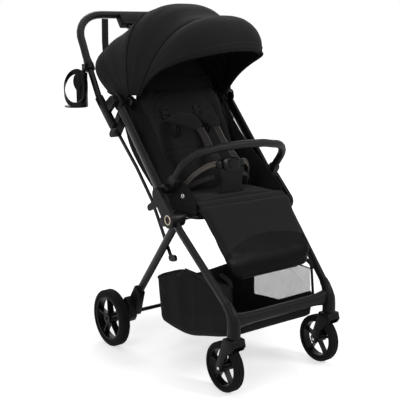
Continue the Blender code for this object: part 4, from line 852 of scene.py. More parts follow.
def make_canopy():
    for name, steps, seed in (("rear", 44, 1.0), ("middle", 32, 5.0), ("front", 28, 9.0)):
        hold = ("stretched", ["canopy_seam_rear"])
        rows = panel_rows(BOWS[name], steps, seed)
        cloth = sheet("canopy_cloth_" + name, rows, 0.0020, canopy_inside, FABRIC, *hold, inside=LINING)
        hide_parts("canopy_" + name)
        follow(cloth, name)
        rows = panel_rows(BOWS[name], steps, seed + 20, pull=0.002, scale=0.968, pleats=0.0095)
        follow(sheet("canopy_lining_" + name, rows, 0.0012, canopy_inside, LINING, *hold), name)
    # Welts over the seams, a bound front hem, and the bows under the cloth
    for name, spec, radius, out, part, material in (
        ("canopy_seam_rear", MIDDLE_BOWS[0], 0.0021, 0.0006, "middle", BINDING),
        ("canopy_seam_front", FRONT_BOWS[0], 0.0021, 0.0006, "middle", BINDING),
        ("canopy_hem", FRONT_BOWS[-1], 0.0030, 0.0004, "front", BINDING),
        ("canopy_rear_hem", REAR_BOWS[0], 0.0026, 0.0004, "", BINDING),
        ("canopy_bow_rear", MIDDLE_BOWS[0], 0.0032, -0.0055, "middle", PLASTIC),
        ("canopy_bow_front", FRONT_BOWS[0], 0.0032, -0.0055, "middle", PLASTIC),
    ):
        angle, reach, half, power = spec
        cord = cord_tube(name, bow(angle, reach + out, half + out, power, count=97), radius, material)
        if part:
            follow(cord, part)
        else:
            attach(cord, "upper_frame")
    # Stitch lines beside the welts
    for letter, angle, part in (
        ("a", 77.9, "rear"), ("b", 82.7, "middle"), ("c", 119.8, "middle"), ("d", 149.0, "front"),
    ):
        out = 0.0007
        reach, half, power = smooth_values(BOWS[part], [angle])[0]
        path = bow(angle, reach + out, half + out, power, count=97)[6:-6]
        follow(cord_tube("canopy_stitch_" + letter, path, 0.0007, THREAD, sides=6), part)
    # A strap from the handle bar to the canopy's back
    path = curve_through([
        (-0.094, 0.488, 0.984), (-0.098, 0.482, 0.950), (-0.103, 0.474, 0.905),
        (-0.110, 0.456, 0.872), (-0.116, 0.425, 0.856),
    ])
    strap = strip("handle_strap", path, 0.021, 0.0020, (1, -0.5, 0), WEBBING)
    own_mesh(strap)
    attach(strap, "handle")
    # The pivots on the tubes
    for s, word in SIDES:
        boss = disc_stack(
            "canopy_pivot_" + word,
            [(0.0, 0.012), (0.0012, 0.0142), (0.0050, 0.0145), (0.0066, 0.0130), (0.0070, 0.006)],
            (s * 0.1865, CANOPY_Y, CANOPY_Z), GLOSS, direction=s,
        )
        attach(sharpen(boss), "upper_frame")


make_canopy()


# Pads

PAD_EDGE = 0.018


def pad(name, origin, u_axis, v_axis, out_axis, low, high, half, height, material, corners, nv=44):
    """A closed sewn pad: half(share) is its half width and height(u) its front above the back plane."""
    nu = 40
    origin, u_axis, v_axis, out_axis = map(Vector, (origin, u_axis, v_axis, out_axis))
    front, back = [], []
    for j in range(nv + 1):
        share = 0.5 - 0.5 * math.cos(math.pi * j / nv)
        v = low + (high - low) * share
        w = half(share)
        for corner, gap in ((corners[0], v - low), (corners[1], high - v)):
            if gap < corner:
                w -= corner - math.sqrt(max(corner * corner - (corner - gap) ** 2, 0.0))
        row_front, row_back = [], []
        for i in range(nu + 1):
            u = math.sin(math.pi / 2 * (2 * i / nu - 1))
            near = max(0.0, min(1.0, (1 - abs(u)) * w / PAD_EDGE, min(v - low, high - v) / PAD_EDGE))
            rise = math.sqrt(near * (2 - near))
            h = height(u)
            base = origin + u_axis * (w * u) + v_axis * v
            row_front.append(base + out_axis * (0.30 * h + 0.70 * h * rise))
            row_back.append(base + out_axis * (0.22 * h * (1 - rise)))
        front.append(row_front)
        back.append(row_back)
    return finish_mesh(name, shell(front, back), material)


def directions(degrees):
    """Along a line at this angle in the middle plane, and square to it."""
    c, s = math.cos(math.radians(degrees)), math.sin(math.radians(degrees))
    return Vector((0, c, s)), Vector((0, -s, c))


BACK_PIVOT = Vector((0, 0.085, 0.455))
BACK_UP, BACK_OUT = directions(63)
LEG_PIVOT = Vector((0, -0.0949, 0.4638))
LEG_DOWN, LEG_IN = directions(232)
LEG_OUT = -LEG_IN
KNEE = LEG_PIVOT + LEG_DOWN * 0.1713
FOOT_DOWN, FOOT_IN = directions(232 + 16)
FOOT_OUT = -FOOT_IN


def on_back(x, v, out):
    return BACK_PIVOT + Vector((x, 0, 0)) + BACK_UP * v + BACK_OUT * out


def on_leg(x, v, out):
    return LEG_PIVOT + Vector((x, 0, 0)) + LEG_DOWN * v + LEG_OUT * out


def make_backrest():
    def height(u):
        bolster = max(0.0, (abs(u) - 0.70) / 0.30)
        return 0.0225 + 0.0065 * math.sin(math.pi * min(1.0, bolster)) + 0.0015 * math.cos(math.pi * u)

    obj = pad(
        "backrest_cushion", BACK_PIVOT, (1, 0, 0), BACK_UP, BACK_OUT, 0.006, 0.358,
        lambda t: 0.163 - 0.007 * t, height, FABRIC, (0.022, 0.055),
    )
    puff(obj, voxel=0.0055, pressure=3.0, cap=0.005)
    seam_out = 0.026
    side_seam = ((0.112, 0.02), (0.117, 0.10), (0.118, 0.20), (0.110, 0.275), (0.088, 0.318))
    top_seam = ((-0.088, 0.318), (-0.045, 0.334), (0, 0.338), (0.045, 0.334), (0.088, 0.318))
    lines = [curve_through([on_back(s * x, v, seam_out) for x, v in side_seam], 10) for s, _ in SIDES]
    lines.append(curve_through([on_back(x, v, seam_out) for x, v in top_seam], 10))
    lines.append([on_back(x, 0.150, seam_out) for x in np.linspace(-0.115, 0.115, 24)])
    groove(obj, lines, 0.0042, 0.0040, BACK_OUT)
    ripple(obj, 0.0012, 22.0, 2.0)
    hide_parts("backrest_pad")
    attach(obj, "backrest")
    # The curtain from the backrest's head up into the canopy
    low, high, step = 0.315, 0.545, 0.045
    edge = (
        (low, 0.150), (0.35, 0.142), (0.39, 0.126), (0.43, 0.107), (0.47, 0.084), (0.51, 0.056),
        (high, 0.014),
    )
    rows = []
    for v in np.linspace(low, high, 36):
        half = value_at(edge, v)
        out = 0.0120 + 0.0130 * min(1.0, (v - low) / step)
        row = []
        for u in np.linspace(-1, 1, 41):
            wave = 0.0018 * noise.noise(Vector((u * 3.0, v * 14.0, 6.0)))
            row.append(on_back(half * u, v, out + wave - 0.006 * u * u))
        rows.append(row)
    curtain = sheet(
        "canopy_curtain", rows, 0.0018, lambda p: p - BACK_OUT, FABRIC, "hung", ["canopy_cloth_middle"]
    )
    seam = [p + BACK_OUT * 0.0006 for p in rows[11]]
    pieces = [curtain, cord_tube("canopy_curtain_seam", seam, 0.0012, BINDING, sides=8)]
    for end, word in ((0, "right"), (-1, "left")):
        border = [row[end] for row in rows]
        pieces.append(cord_tube("canopy_curtain_edge_" + word, border, 0.0018, BINDING, sides=8))
    for piece in pieces:
        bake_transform(piece)
    # The slots that the shoulder straps come out of
    for s, word in SIDES:
        path = [on_back(s * 0.062 + dx, 0.262, 0.0262) for dx in np.linspace(-0.027, 0.027, 12)]
        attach(strip("strap_slot_" + word, path, 0.012, 0.0016, BACK_UP, BINDING), "backrest")


def make_wing(s, word):
    """A side wing: a bound sheet from the seat's rail up along the tube."""
    top_line = line_yz((
        (0.207, 0.744), (0.190, 0.722), (0.171, 0.701), (0.113, 0.640), (0.075, 0.606),
        (0.037, 0.579), (-0.010, 0.548), (-0.064, 0.510), (-0.0845, 0.494),
    ), 6)
    rear, front, foot_z = 0.098, -0.0845, 0.4535
    rows = []
    for i, p in enumerate(top_line):
        t = i / (len(top_line) - 1)
        foot_y = rear + (front - rear) * t
        row = []
        for q in np.linspace(0, 1, 15):
            y = foot_y + (p.y - foot_y) * q
            z = foot_z + (p.z - foot_z) * q
            bulge = 0.0030 * math.sin(math.pi * q) * math.sin(math.pi * min(1, t * 1.2))
            wave = 0.0012 * noise.noise(Vector((y * 30, z * 30, s * 3.0)))
            behind = max(0.0, 0.034 - (Vector((0, y, z)) - BACK_PIVOT).dot(BACK_OUT))
            x = 0.1588 + bulge * 0.4 + wave + min(0.0085, 0.25 * behind)
            row.append(Vector((s * x, y, z)))
        rows.append(row)
    wing = sheet(
        "seat_wing_" + word, rows, 0.0022, middle_plane, SIDE_FABRIC, "stretched", ["seat_rail"]
    )
    if s > 0:
        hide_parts("seat_sling")
    piping = cord_tube("seat_wing_piping_" + word, [row[-1] for row in rows], 0.0026, BINDING)
    for piece in (wing, piping):
        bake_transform(piece)


def make_corner(s, word):
    """The seat's back corner, behind the backrest's edge, and the gusset beside the backrest."""
    ahead = line_yz((
        (0.113, 0.508), (0.139, 0.560), (0.164, 0.610), (0.192, 0.665), (0.206, 0.712),
        (0.198, 0.750), (0.190, 0.790),
    ), 6)
    after = line_yz((
        (0.126, 0.503), (0.196, 0.560), (0.242, 0.612), (0.268, 0.665), (0.290, 0.716), (0.300, 0.775),
    ), 6)
    rows = []
    for a, b in zip(ahead, after):
        row = []
        for p in (a.lerp(b, k / 10) for k in range(11)):
            wave = 0.0010 * noise.noise(Vector((p.y * 40, p.z * 40, 2.0 + s)))
            row.append(Vector((s * (0.1640 + wave), p.y, p.z)))
        rows.append(row)
    corner = sheet(
        "seat_corner_" + word, rows, 0.0016, middle_plane, SIDE_FABRIC,
        "stretched", ["upper_tube_" + word],
    )
    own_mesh(corner)
    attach(corner, "upper_frame")
    inner, outer = 0.156, 0.187
    rows = []
    for v in np.linspace(0.100, 0.335, 30):
        row = []
        for x in np.linspace(inner, outer, 8):
            dip = 0.002 * math.sin(math.pi * (x - inner) / (outer - inner))
            row.append(on_back(s * x, v, 0.010 - dip))
        rows.append(row)
    side = sheet(
        "backrest_side_" + word, rows, 0.0016, lambda q: q - BACK_OUT, SIDE_FABRIC,
        "stretched", ["backrest_cushion"],
    )
    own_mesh(side)
    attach(side, "backrest")


def make_seat():
    obj = pad(
        "seat_cushion", (0, 0, 0.4548), (1, 0, 0), (0, 1, 0), (0, 0, 1), -0.084, 0.071,
        lambda t: 0.156, lambda u: 0.0300 + 0.004 * (1 - u * u), FABRIC, (0.012, 0.014),
    )
    puff(obj, voxel=0.0055, pressure=3.0, cap=0.004)
    groove(obj, [[(x, -0.046, 0.489) for x in np.linspace(-0.15, 0.15, 30)]], 0.004, 0.003, (0, 0, 1))
    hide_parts("seat_pad")
    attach(obj, "stroller")
    for s, word in SIDES:
        make_wing(s, word)
    for s, word in SIDES:
        make_corner(s, word)
    across = np.linspace(-0.158, 0.158, 21)
    rows = [[Vector((x, y, 0.4542)) for x in across] for y in np.linspace(-0.070, 0.058, 11)]
    sling = sheet(
        "seat_sling_cloth", rows, 0.0012, lambda q: Vector((q.x, q.y, 0)), SIDE_FABRIC,
        "stretched", ["seat_rail"],
    )
    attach(sling, "stroller")


# The footrest cover's edge on the leg rest and its lower edge, as (x, distance down the leg rest)
ARCH = (
    (-0.1481, 0.152), (-0.1365, 0.1422), (-0.1216, 0.1329), (-0.1033, 0.1241), (-0.0862, 0.1179),
    (-0.0577, 0.1105), (-0.0253, 0.1036), (0.0198, 0.1016), (0.0663, 0.1061), (0.1079, 0.1145),
    (0.1341, 0.1237), (0.1454, 0.1385), (0.1476, 0.1486),
)
COVER_LOW = (
    (-0.1503, 0.1640), (-0.1458, 0.182), (-0.1288, 0.2010), (-0.0596, 0.2044), (0.0508, 0.2040),
    (0.1038, 0.1985), (0.1300, 0.1880), (0.1435, 0.1730), (0.1480, 0.1600),
)


def make_leg_cushions():
    obj = pad(
        "leg_rest_cushion", LEG_PIVOT + LEG_OUT * 0.0056, (1, 0, 0), LEG_DOWN, LEG_OUT, -0.0095, 0.171,
        lambda t: 0.165 - 0.016 * t, lambda u: 0.0165 + 0.0015 * (1 - u * u), FABRIC, (0.012, 0.008),
    )
    puff(obj, voxel=0.005, pressure=2.4, cap=0.0035)
    pocket = (
        (-0.156, 0.004), (-0.1195, 0.0095), (-0.0356, 0.0169), (0.043, 0.022), (0.0988, 0.0103),
        (0.150, 0.006),
    )
    seams = [curve_through([on_leg(x, v, 0.022) for x, v in pocket], 12)]
    for s, _ in SIDES:
        seams.append([on_leg(s * (0.155 - 0.10 * v), v, 0.021) for v in np.linspace(0.004, 0.165, 20)])
    groove(obj, seams, 0.0030, 0.0022, LEG_OUT)
    ripple(obj, 0.0008, 26.0, 4.0)
    # The glossy patch is part of the same cover
    obj.data.materials.append(LEATHER_GLOSS)
    for face in obj.data.polygons:
        p = face.center - SHIFT - LEG_PIVOT
        if abs(p.x) < 0.1478 and p.dot(LEG_DOWN) > np.interp(p.x, *zip(*ARCH)) and p.dot(LEG_OUT) > 0.012:
            face.material_index = 1
    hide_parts("leg_rest_pad")
    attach(obj, "leg_rest")
    foot = pad(
        "footrest_cushion", KNEE + FOOT_OUT * 0.0056 + FOOT_DOWN * 0.002, (1, 0, 0), FOOT_DOWN, FOOT_OUT,
        -0.010, 0.034, lambda t: 0.1440 - 0.010 * t, lambda u: 0.0135, LEATHER_GLOSS, (0.004, 0.020), nv=20,
    )
    modify(foot, "SUBSURF", levels=1, render_levels=1)
    apply_all(foot)
    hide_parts("footrest_pad")
    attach(foot, "leg_rest")


def make_leg_covers():
    path = curve_through([on_leg(x, v, 0.0238) for x, v in ARCH], 6)
    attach(cord_tube("footrest_welt", path, 0.0016, BINDING, sides=8), "leg_rest")
    # The glossy cover runs from the arch over the knee and round the footrest's front
    first, width = -0.1503, 0.2983
    arch = [(first, 0.1560), *ARCH, (0.1480, 0.1500)]
    rows = []
    for x in first + width * (0.5 - 0.5 * np.cos(np.linspace(0, math.pi, 61))):
        high = float(np.interp(x, *zip(*arch)))
        low = value_at(COVER_LOW, x)
        side = max(0.0, min(1.0, (-first - abs(x)) / 0.022))
        row = []
        for t in np.linspace(0, 1, 25):
            v = high + (low - high) * t
            dome = math.sin(math.pi * min(1.0, 0.04 + 0.94 * t)) ** 0.6 * (0.15 + 0.85 * math.sqrt(side))
            back = 4.0 * max(0.0, v - 0.150) ** 2
            row.append(on_leg(x, v, 0.0224 + 0.0040 * dome - back))
        rows.append(row)
    cover = solid_sheet("footrest_cover", rows, 0.0042, lambda q: q - LEG_OUT, LEATHER_GLOSS)
    ripple(cover, 0.0010, 18.0, 8.0)
    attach(cover, "leg_rest")
    # The cover's rolled front edge, over the leg rest's hinge
    outline = line_yz((
        (-0.070, 0.4850), (-0.082, 0.4862), (-0.0935, 0.4835), (-0.1045, 0.4760), (-0.1120, 0.4655),
        (-0.1185, 0.4560),
    ), 5)
    rows = [[Vector((x, q.y, q.z)) for q in outline] for x in np.linspace(-0.156, 0.156, 41)]
    roll = sheet(
        "seat_front_cover", rows, 0.0030, lambda q: Vector((q.x, -0.085, 0.462)), FABRIC,
        "stretched", ["leg_rest_cushion"],
    )
    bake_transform(roll)


make_backrest()
make_seat()
make_leg_cushions()
make_leg_covers()


# Harness

# Each shoulder pad's path, down from the backrest, and that of the webbing from it to the buckle
SHOULDER_PATHS = {
    "right": (
        ((-0.078, 0.172, 0.686), (-0.069, 0.140, 0.695), (-0.057, 0.092, 0.691), (-0.047, 0.048, 0.675)),
        (
            (-0.0455, 0.048, 0.6715), (-0.0450, 0.030, 0.652), (-0.0440, 0.010, 0.628),
            (-0.0400, -0.012, 0.600), (-0.0340, -0.026, 0.583),
        ),
    ),
    "left": (
        ((0.044, 0.174, 0.689), (0.049, 0.150, 0.693), (0.052, 0.122, 0.684), (0.052, 0.099, 0.667)),
        (
            (0.0520, 0.098, 0.6640), (0.0510, 0.078, 0.643), (0.0490, 0.050, 0.618),
            (0.0430, 0.010, 0.596), (0.0350, -0.022, 0.581),
        ),
    ),
}


def on_backrest(piece):
    """Carries a harness piece on the backrest, with a mesh of its own."""
    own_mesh(piece)
    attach(piece, "backrest")


def make_shoulder(s, word):
    pad_path, web_path = SHOULDER_PATHS[word]
    shoulder = bar(
        "shoulder_pad_" + word, curve_through(pad_path, 10),
        lambda t: 0.0260 * min(1.0, (0.26 + 2.2 * min(t, 1 - t)) ** 0.5),
        lambda t: 0.0056 * min(1.0, (0.25 + 4 * min(t, 1 - t)) ** 0.5),
        (0.86, 0.25 * s, 0.45), FABRIC, 3.0, 24,
    )
    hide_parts("shoulder_strap_" + word)
    on_backrest(shoulder)
    web = curve_through(web_path, 10)
    under = [p - Vector((0, 0, 0.0068)) for p in curve_through(pad_path, 6)]
    on_backrest(strip(
        "shoulder_webbing_" + word, under[:-2] + web, 0.024, 0.0017, (1, 0.15 * s, 0), WEBBING_BROWN
    ))
    # A pale cord along the webbing's edge: a painted highlight.
    edge = [p + Vector((0.0115, 0.0, 0.0012)) for p in web]
    on_backrest(cord_tube("shoulder_webbing_painted_highlight_" + word, edge, 0.0013, WEBBING_HIGHLIGHT_PAINT, sides=8))
    # A keeper loop that hangs from the pad's underside
    loop = [Vector(pad_path[1]) + Vector(p) for p in (
        (0.010, -0.004, -0.008), (0.006, 0.000, -0.040), (0.006, 0.003, -0.055),
        (0.012, 0.002, -0.056), (0.016, -0.002, -0.040), (0.018, -0.006, -0.010),
    )]
    on_backrest(strip("strap_keeper_" + word, curve_through(loop), 0.007, 0.0014, (0, 1, 0.2), BINDING))
    # The adjusters where each strap leaves the backrest
    top = Vector(pad_path[0]) + BACK_UP * 0.010 + BACK_OUT * 0.002
    for k, (rise, half) in enumerate(((0.0, 0.0135), (0.018, 0.0125))):
        corners = [
            top + Vector((half * a, 0, 0)) + BACK_UP * (rise + 0.0052 * b) + BACK_OUT * (0.002 * b)
            for a, b in ((-1, -1), (0, -1.15), (1, -1), (1.1, 0), (1, 1), (0, 1.15), (-1, 1), (-1.1, 0))
        ]
        ring = cord_tube(f"strap_adjuster_{word}_{k + 1}", corners, 0.0019, GLOSS, sides=8, closed=True)
        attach(ring, "backrest")
    path = [top + BACK_UP * v + BACK_OUT * 0.0005 for v in np.linspace(-0.008, 0.030, 10)]
    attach(strip("strap_end_" + word, path, 0.021, 0.0016, (1, 0, 0), WEBBING), "backrest")


def make_waist(s, word):
    waist = curve_through(mirrored(s, (
        (0.135, 0.048, 0.491), (0.122, 0.030, 0.510), (0.104, 0.006, 0.543), (0.080, -0.014, 0.566),
        (0.058, -0.027, 0.576), (0.036, -0.034, 0.577),
    )), 12)
    # The waist belt takes the lighter copy of the webbing: painted highlight.
    belt = strip("waist_webbing_" + word, waist, 0.013, 0.0018, (0, 0.30, 0.95), WEBBING_PAINTED_LIT)
    if s > 0:
        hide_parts("waist_belt")
    # A pale cord along the belt's edge: a painted highlight.
    edge = [p + Vector((0, -0.0016, 0.0072)) for p in waist]
    light = cord_tube("waist_webbing_painted_highlight_" + word, edge, 0.0016, WEBBING_HIGHLIGHT_PAINT, sides=8)
    path = curve_through(mirrored(s, (
        (0.138, 0.044, 0.4935), (0.112, 0.012, 0.515), (0.080, -0.014, 0.533), (0.052, -0.028, 0.542),
    )), 12)
    tail = strip("waist_tail_" + word, path, 0.014, 0.0016, (0, 0.4, 0.9), WEBBING_BROWN)
    for piece in (belt, light, tail):
        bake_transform(piece)
    # The tongue that the strap ends in, pushed into the buckle
    path = mirrored(s, (
        (0.0300, -0.0368, 0.5745), (0.0360, -0.0366, 0.5750), (0.0440, -0.0355, 0.5762),
        (0.0485, -0.0348, 0.5768),
    ))
    tongue = bar(
        "buckle_tongue_" + word, path, lambda t: 0.0085 + 0.0022 * t, 0.0042, (0, 0.25, 0.97), GLOSS, 4.0
    )
    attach(tongue, "crotch_strap")
    # A bright rivet on the wing, where the belt is anchored
    rivet = disc_stack(
        "belt_rivet_" + word, [(0.0, 0.0068), (0.0014, 0.0070), (0.0026, 0.0056), (0.0030, 0.0022)],
        (s * 0.1610, -0.027, 0.499), STEEL, segments=32, direction=s,
    )
    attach(rivet, "stroller")


def make_crotch_pad():
    """A stuffed sleeve from the seat up to the buckle."""
    profile = ((0.0, 0.0470), (0.15, 0.0430), (0.5, 0.0375), (0.85, 0.0450), (1.0, 0.0470))
    crotch = bar(
        "crotch_cover",
        line_yz(((-0.0395, 0.4875), (-0.0425, 0.515), (-0.0430, 0.540), (-0.0400, 0.564)), 10),
        lambda t: value_at(profile, t),
        lambda t: 0.0070 * min(1.0, (0.3 + 5 * min(t, 1 - t)) ** 0.5),
        (1, 0, 0), FABRIC, 3.2, 32,
    )
    ripple(crotch, 0.0012, 40.0, 1.0)
    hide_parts("crotch_pad")
    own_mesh(crotch)
    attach(crotch, "crotch_strap")


for side, side_word in SIDES:
    make_shoulder(side, side_word)
    make_waist(side, side_word)
make_crotch_pad()


# Basket

# Heights of the basket's floor and rim, as (y, z) from its rear wall to its front
FLOOR_LINE = (
    (0.142, 0.092), (0.10, 0.084), (0.045, 0.077), (-0.02, 0.079), (-0.09, 0.097), (-0.20, 0.131),
    (-0.248, 0.150),
)
RIM_LINE = (
    (0.142, 0.210), (0.129, 0.221), (0.055, 0.257), (-0.03, 0.281), (-0.10, 0.272), (-0.18, 0.238),
    (-0.248, 0.198),
)
# The clip at each net panel's front, as (y, z) from its top down
CLIP_LINE = (
    (-0.184, 0.3070), (-0.190, 0.3055), (-0.204, 0.3020), (-0.219, 0.2960), (-0.225, 0.2880),
    (-0.2262, 0.2800),
)


def line_table(line):
    stations = [(-p[0], p[1]) for p in line]
    at = np.linspace(stations[0][0], stations[-1][0], 160)
    return at, smooth_values(stations, at)[:, 0]


LINE_TABLES = {line: line_table(line) for line in (FLOOR_LINE, RIM_LINE)}


def line_height(line, y):
    return float(np.interp(-y, *LINE_TABLES[line]))


def basket_loop(inset, draw):
    """(x, y) once round the basket from the middle of the rear wall, left side first."""
    rear, front, half, corner = 0.142, -0.248, 0.150, 0.030
    w, r = half - inset, max(corner - inset, 0.006)
    back, ahead = rear - inset - draw, front + inset
    bend = np.linspace(0, math.pi / 2, 9)[1:]
    pts = [((w - r) * t, back) for t in np.linspace(0, 1, 13)]
    pts += [(w - r + r * math.sin(a), back - r + r * math.cos(a)) for a in bend]
    pts += [(w, back - r + (ahead + r - back + r) * t) for t in np.linspace(0, 1, 41)[1:]]
    pts += [(w - r + r * math.cos(a), ahead + r - r * math.sin(a)) for a in bend]
    pts += [((w - r) * (1 - t), ahead) for t in np.linspace(0, 1, 13)[1:]]
    return pts + [(-x, y) for x, y in pts[-2:0:-1]]


def basket_level(inset, draw, share):
    """A loop of the basket's cloth, at this share of the way from its floor to its rim."""
    loop = []
    for x, y in basket_loop(inset, draw):
        low, high = line_height(FLOOR_LINE, y), line_height(RIM_LINE, y)
        flat = 0.203 if y > -0.05 else 0.198
        high = flat + (high - flat) * min(1.0, abs(x) / 0.120) ** 2
        z = low + (high - low) * share
        fold = noise.noise(Vector((x * 16, y * 16, z * 4)))
        fold += 0.5 * noise.noise(Vector((x * 45, y * 45, z * 7)))
        size = 0.0026 * math.sin(math.pi * min(1.0, 0.12 + share * 0.85))
        side = Vector((x, y * 0.4, 0)).normalized()
        loop.append(Vector((x, y, z)) + side * (fold * size - 0.0012))
    return loop


def make_basket_cloth(levels):
    bm = bmesh.new()
    inside = Vector((0, -0.05, 0.2))
    inner = [[p + (inside - p).normalized() * 0.0016 for p in loop] for loop in levels]
    skins = [lay(bm, loops, closed=True) for loops in (levels, inner)]
    count = len(levels[0])
    out_rim, in_rim = skins[0][-1], skins[1][-1]
    for j in range(count):
        n = (j + 1) % count
        bm.faces.new((out_rim[j], out_rim[n], in_rim[n], in_rim[j]))
    # The floor: strips from side to side, sagging a little
    half = count // 2
    for verts in (skins[0][0], skins[1][0]):
        bm.faces.new((verts[0], verts[1], verts[-1]))
        for j in range(1, half - 1):
            bm.faces.new((verts[j], verts[j + 1], verts[-j - 1], verts[-j]))
        bm.faces.new((verts[half - 1], verts[half], verts[half + 1]))
    obj = finish_mesh("basket_cloth", bm, BASKET_FABRIC)
    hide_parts("basket")
    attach(obj, "stroller")


def make_basket():
    low_levels = ((0.030, 0.016, 0.0), (0.018, 0.013, 0.012), (0.008, 0.010, 0.05), (0.004, 0.009, 0.12))
    levels = [basket_level(*values) for values in low_levels]
    for t in (k / 14 for k in range(1, 15)):
        levels.append(basket_level(0.004 * (1 - t) ** 2 + 0.001, 0.008 * (1 - t), 0.12 + 0.88 * t))
    make_basket_cloth(levels)
    net_front, net_rear, net_x = -0.222, -0.020, 0.1495
    rim = levels[-1]
    panel = [k for k, p in enumerate(rim) if abs(p.x) > 0.14 and net_front < p.y < net_rear]
    first = [k for k in panel if rim[k].x > 0]
    second = [k for k in panel if rim[k].x < 0]
    for name, path in (
        ("basket_hem_rear", rim[second[-1] + 1 :] + rim[: first[0]]),
        ("basket_hem_front", rim[first[-1] + 1 : second[0]]),
    ):
        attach(cord_tube(name, path, 0.0024, BINDING), "stroller")
    # Net panels that carry on above the side walls to the seat frame, each with a strap at its front
    for s, word in SIDES:
        rows = []
        for y in np.linspace(net_front, net_rear, 30):
            low = line_height(RIM_LINE, y) - 0.002
            high = float(np.interp(y, (net_front, -0.13, net_rear), (0.281, 0.283, 0.285)))
            heights = np.linspace(low, max(low + 0.003, high), 8)
            rows.append(mirrored(s, [(net_x - 0.004 * (z - low) / 0.08, y, z) for z in heights]))
        # The near (right) side's net is the denser one: painted shade.
        material = NET if s > 0 else NET_PAINTED_SHADE
        net = sheet("basket_net_" + word, rows, 0.0008, middle_plane, material, "hung", ["seat_rail"])
        edge = cord_tube("basket_net_edge_" + word, [row[-1] for row in rows], 0.0020, BINDING)
        path = mirrored(
            s, [(net_x, -0.224 - 0.010 * t, 0.285 - 0.085 * t) for t in np.linspace(0, 1, 12)]
        )
        strap = strip("basket_strap_" + word, path, 0.010, 0.0018, (0, 1, 0), BINDING)
        path = mirrored(s, [(net_x, y, z) for y, z in CLIP_LINE])
        clip = bar(
            "basket_clip_" + word, path, lambda t: 0.0064 - 0.0020 * abs(t - 0.4), 0.0036, (1, 0, 0),
            BINDING, 4.0,
        )
        for piece in (net, edge, strap, clip):
            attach(piece, "stroller")


make_basket()


# Cup holder


def make_cup_wall():
    """The back of the cup, which bulges past its frame towards the stroller's outside."""
    centre, radius = Vector((-0.2702, 0.370, 0)), 0.0345
    ahead, across = Vector((0.765, -0.644, 0)), Vector((0.610, 0.792, 0))
    low, high, start = 0.7275, 0.832, 74
    # The wall's far edge: its turn round the cup, in degrees, at each height
    stations = (
        (low, 92), (0.735, 91), (0.750, 88), (0.764, 92), (0.779, 106), (0.793, 112), (0.812, 107),
        (0.826, 92), (high, 86),
    )
    rows = []
    for z in np.linspace(low, high, 40):
        rise = centre + Vector((0, 0, z))
        turns = np.radians(np.linspace(start, value_at(stations, z), 12))
        rows.append([rise + (ahead * math.cos(a) + across * math.sin(a)) * radius for a in turns])
    wall = solid_sheet(
        "cup_holder_wall", rows, 0.0016, lambda q: Vector((centre.x, centre.y, q.z)), PLASTIC
    )
    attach(wall, "cup_holder")


make_cup_wall()


# Wheels


def make_tyre(name, centre, radius, width, depth, replaced, body):
    """A foamed tyre with a flat tread, two grooves and fine cross cuts."""
    half, inner, crown, drop = width / 2, radius - depth, 0.0065, 0.013
    shoulder = []
    for a in (math.pi / 2 * k / 8 for k in range(9)):
        r = radius - drop + 0.0085 * math.sin(a) + 0.0045 * math.sin(a) ** 4
        shoulder.append((-half + crown - crown * math.cos(a), r))
    tread = [(-0.0062, 0.0), (-0.0056, 0.0016), (-0.0046, 0.0016), (-0.0040, 0.0), (-0.0006, 0.0)]
    tread += [(0.0, 0.0)] + [(-off, deep) for off, deep in reversed(tread)]
    profile = shoulder + [(off, radius - deep) for off, deep in tread]
    profile += [(-off, r) for off, r in reversed(shoulder)]
    profile += [(half - 0.0015, inner + 0.002), (half - 0.0040, inner + 0.0004)]
    profile += [(-half + 0.0040, inner + 0.0004), (-half + 0.0015, inner + 0.002)]
    segments, cut_every, cut_depth = 192, 6, 0.0009
    loops = []
    for k in range(segments):
        turn = 2 * math.pi * (k + 0.5) / segments
        cut = cut_depth if k % cut_every == 0 else 0.0
        loop = []
        for off, r in profile:
            on_tread = r > radius - 0.0005 and abs(off) > 0.0038
            loop.append(around_x(centre, off, r - cut if on_tread else r, turn))
        loops.append(loop)
    bm = bmesh.new()
    lay(bm, loops, closed=True, ring=True)
    obj = sharpen(finish_mesh(name, bm, TYRE), 50)
    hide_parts(replaced)
    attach(obj, body)


def octagon(low_x, high_x, low, high, bevel):
    """A rectangle with cut corners, as points once round it."""
    return (
        (low_x, low + bevel), (low_x + bevel, low), (high_x - bevel, low), (high_x, low + bevel),
        (high_x, high - bevel), (high_x - bevel, high), (low_x + bevel, high), (low_x, high - bevel),
    )


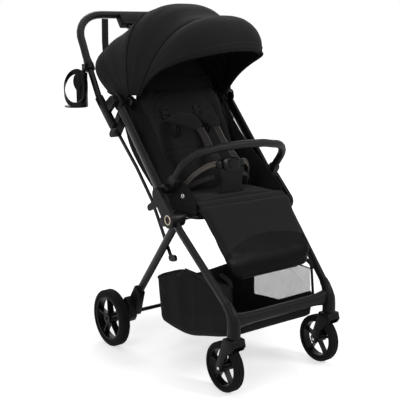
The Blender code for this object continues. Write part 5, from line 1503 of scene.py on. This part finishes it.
def make_rim(name, centre, ring, inner, half_ring, hub, half_hub, spoke, phase, replaced, body):
    """A moulded rim: a thin ring, a hub with a bore, and tapered spokes that lean between them."""
    spokes, bore = 5, 0.0048
    bm = bmesh.new()
    for half, low, high, bevel, count in (
        (half_ring, inner, ring, 0.0008, 96), (half_hub, bore, hub, 0.0012, 40),
    ):
        profile = octagon(-half, half, low, high, bevel)
        turns = [2 * math.pi * k / count for k in range(count)]
        loops = [[around_x(centre, x, r, a) for x, r in profile] for a in turns]
        lay(bm, loops, closed=True, ring=True)
    start, end = hub - 0.0015, inner + 0.0012
    for turn in (phase + 2 * math.pi * k / spokes for k in range(spokes)):
        across = Vector((0, -math.sin(turn), math.cos(turn)))
        loops = []
        for t in np.linspace(0, 1, 7):
            half_w = spoke * (1.25 - 0.55 * math.sin(math.pi * (0.15 + 0.7 * t)))
            half_t = half_hub * 0.62 + (half_ring * 0.72 - half_hub * 0.62) * t
            at = around_x(centre, 0.0, start + (end - start) * t, turn)
            section = octagon(-half_t, half_t, -half_w, half_w, 0.0009)
            loops.append([at + across * w + Vector((x, 0, 0)) for x, w in section])
        rings(loops, bm)
    rim = sharpen(finish_mesh(name, bm, RIM))
    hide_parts(replaced)
    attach(rim, body)


def make_axle_bolts(side, word, axle):
    """A bright bolt head on each face of a front fork, at the axle."""
    fork = bpy.data.objects["caster_fork_" + word]
    points = [fork.matrix_world @ v.co for v in fork.data.vertices]
    near = [p.x for p in points if math.hypot(p.y - axle.y, p.z - axle.z) < 0.012]
    for s, x in ((-1, min(near)), (1, max(near))):
        bolt = disc_stack(
            f"axle_bolt_{word}_{'inner' if s * side < 0 else 'outer'}",
            [(0.0, 0.0044), (0.0010, 0.0046), (0.0019, 0.0036), (0.0022, 0.0012)],
            Vector((x, axle.y, axle.z)) - SHIFT, STEEL, segments=24, direction=s,
        )
        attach(bolt, "caster_" + word)


# Each end's axle on the left side, whose height is the tyre's radius; the tyre's width and depth;
# the rim's outer and inner radius and half width; the hub's radius; the spokes' half width and turn
WHEELS = (
    ("rear", (0.245, 0.2335, 0.087), 0.034, 0.0195, (0.0676, 0.0625, 0.0130), 0.0165, 0.0036, 0.2),
    ("front", (0.176, -0.2355, 0.069), 0.032, 0.0145, (0.0546, 0.0498, 0.0120), 0.0125, 0.0030, 0.3),
)
for side, side_word in SIDES:
    for end, axle, width, depth, ring, hub, spoke, phase in WHEELS:
        body = f"{end}_wheel_{side_word}"
        make_tyre(
            f"{end}_tread_{side_word}", mirrored(side, [axle])[0], axle[2], width, depth,
            f"{end}_tyre_{side_word}", body,
        )
        low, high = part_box(f"{end}_rim_{side_word}")
        make_rim(
            f"{end}_spokes_{side_word}", (low + high) / 2 - SHIFT, *ring, hub,
            (high.x - low.x) / 2 - 0.0002, spoke, phase, f"{end}_rim_{side_word}", body,
        )
        if end == "front":
            make_axle_bolts(side, side_word, (low + high) / 2)
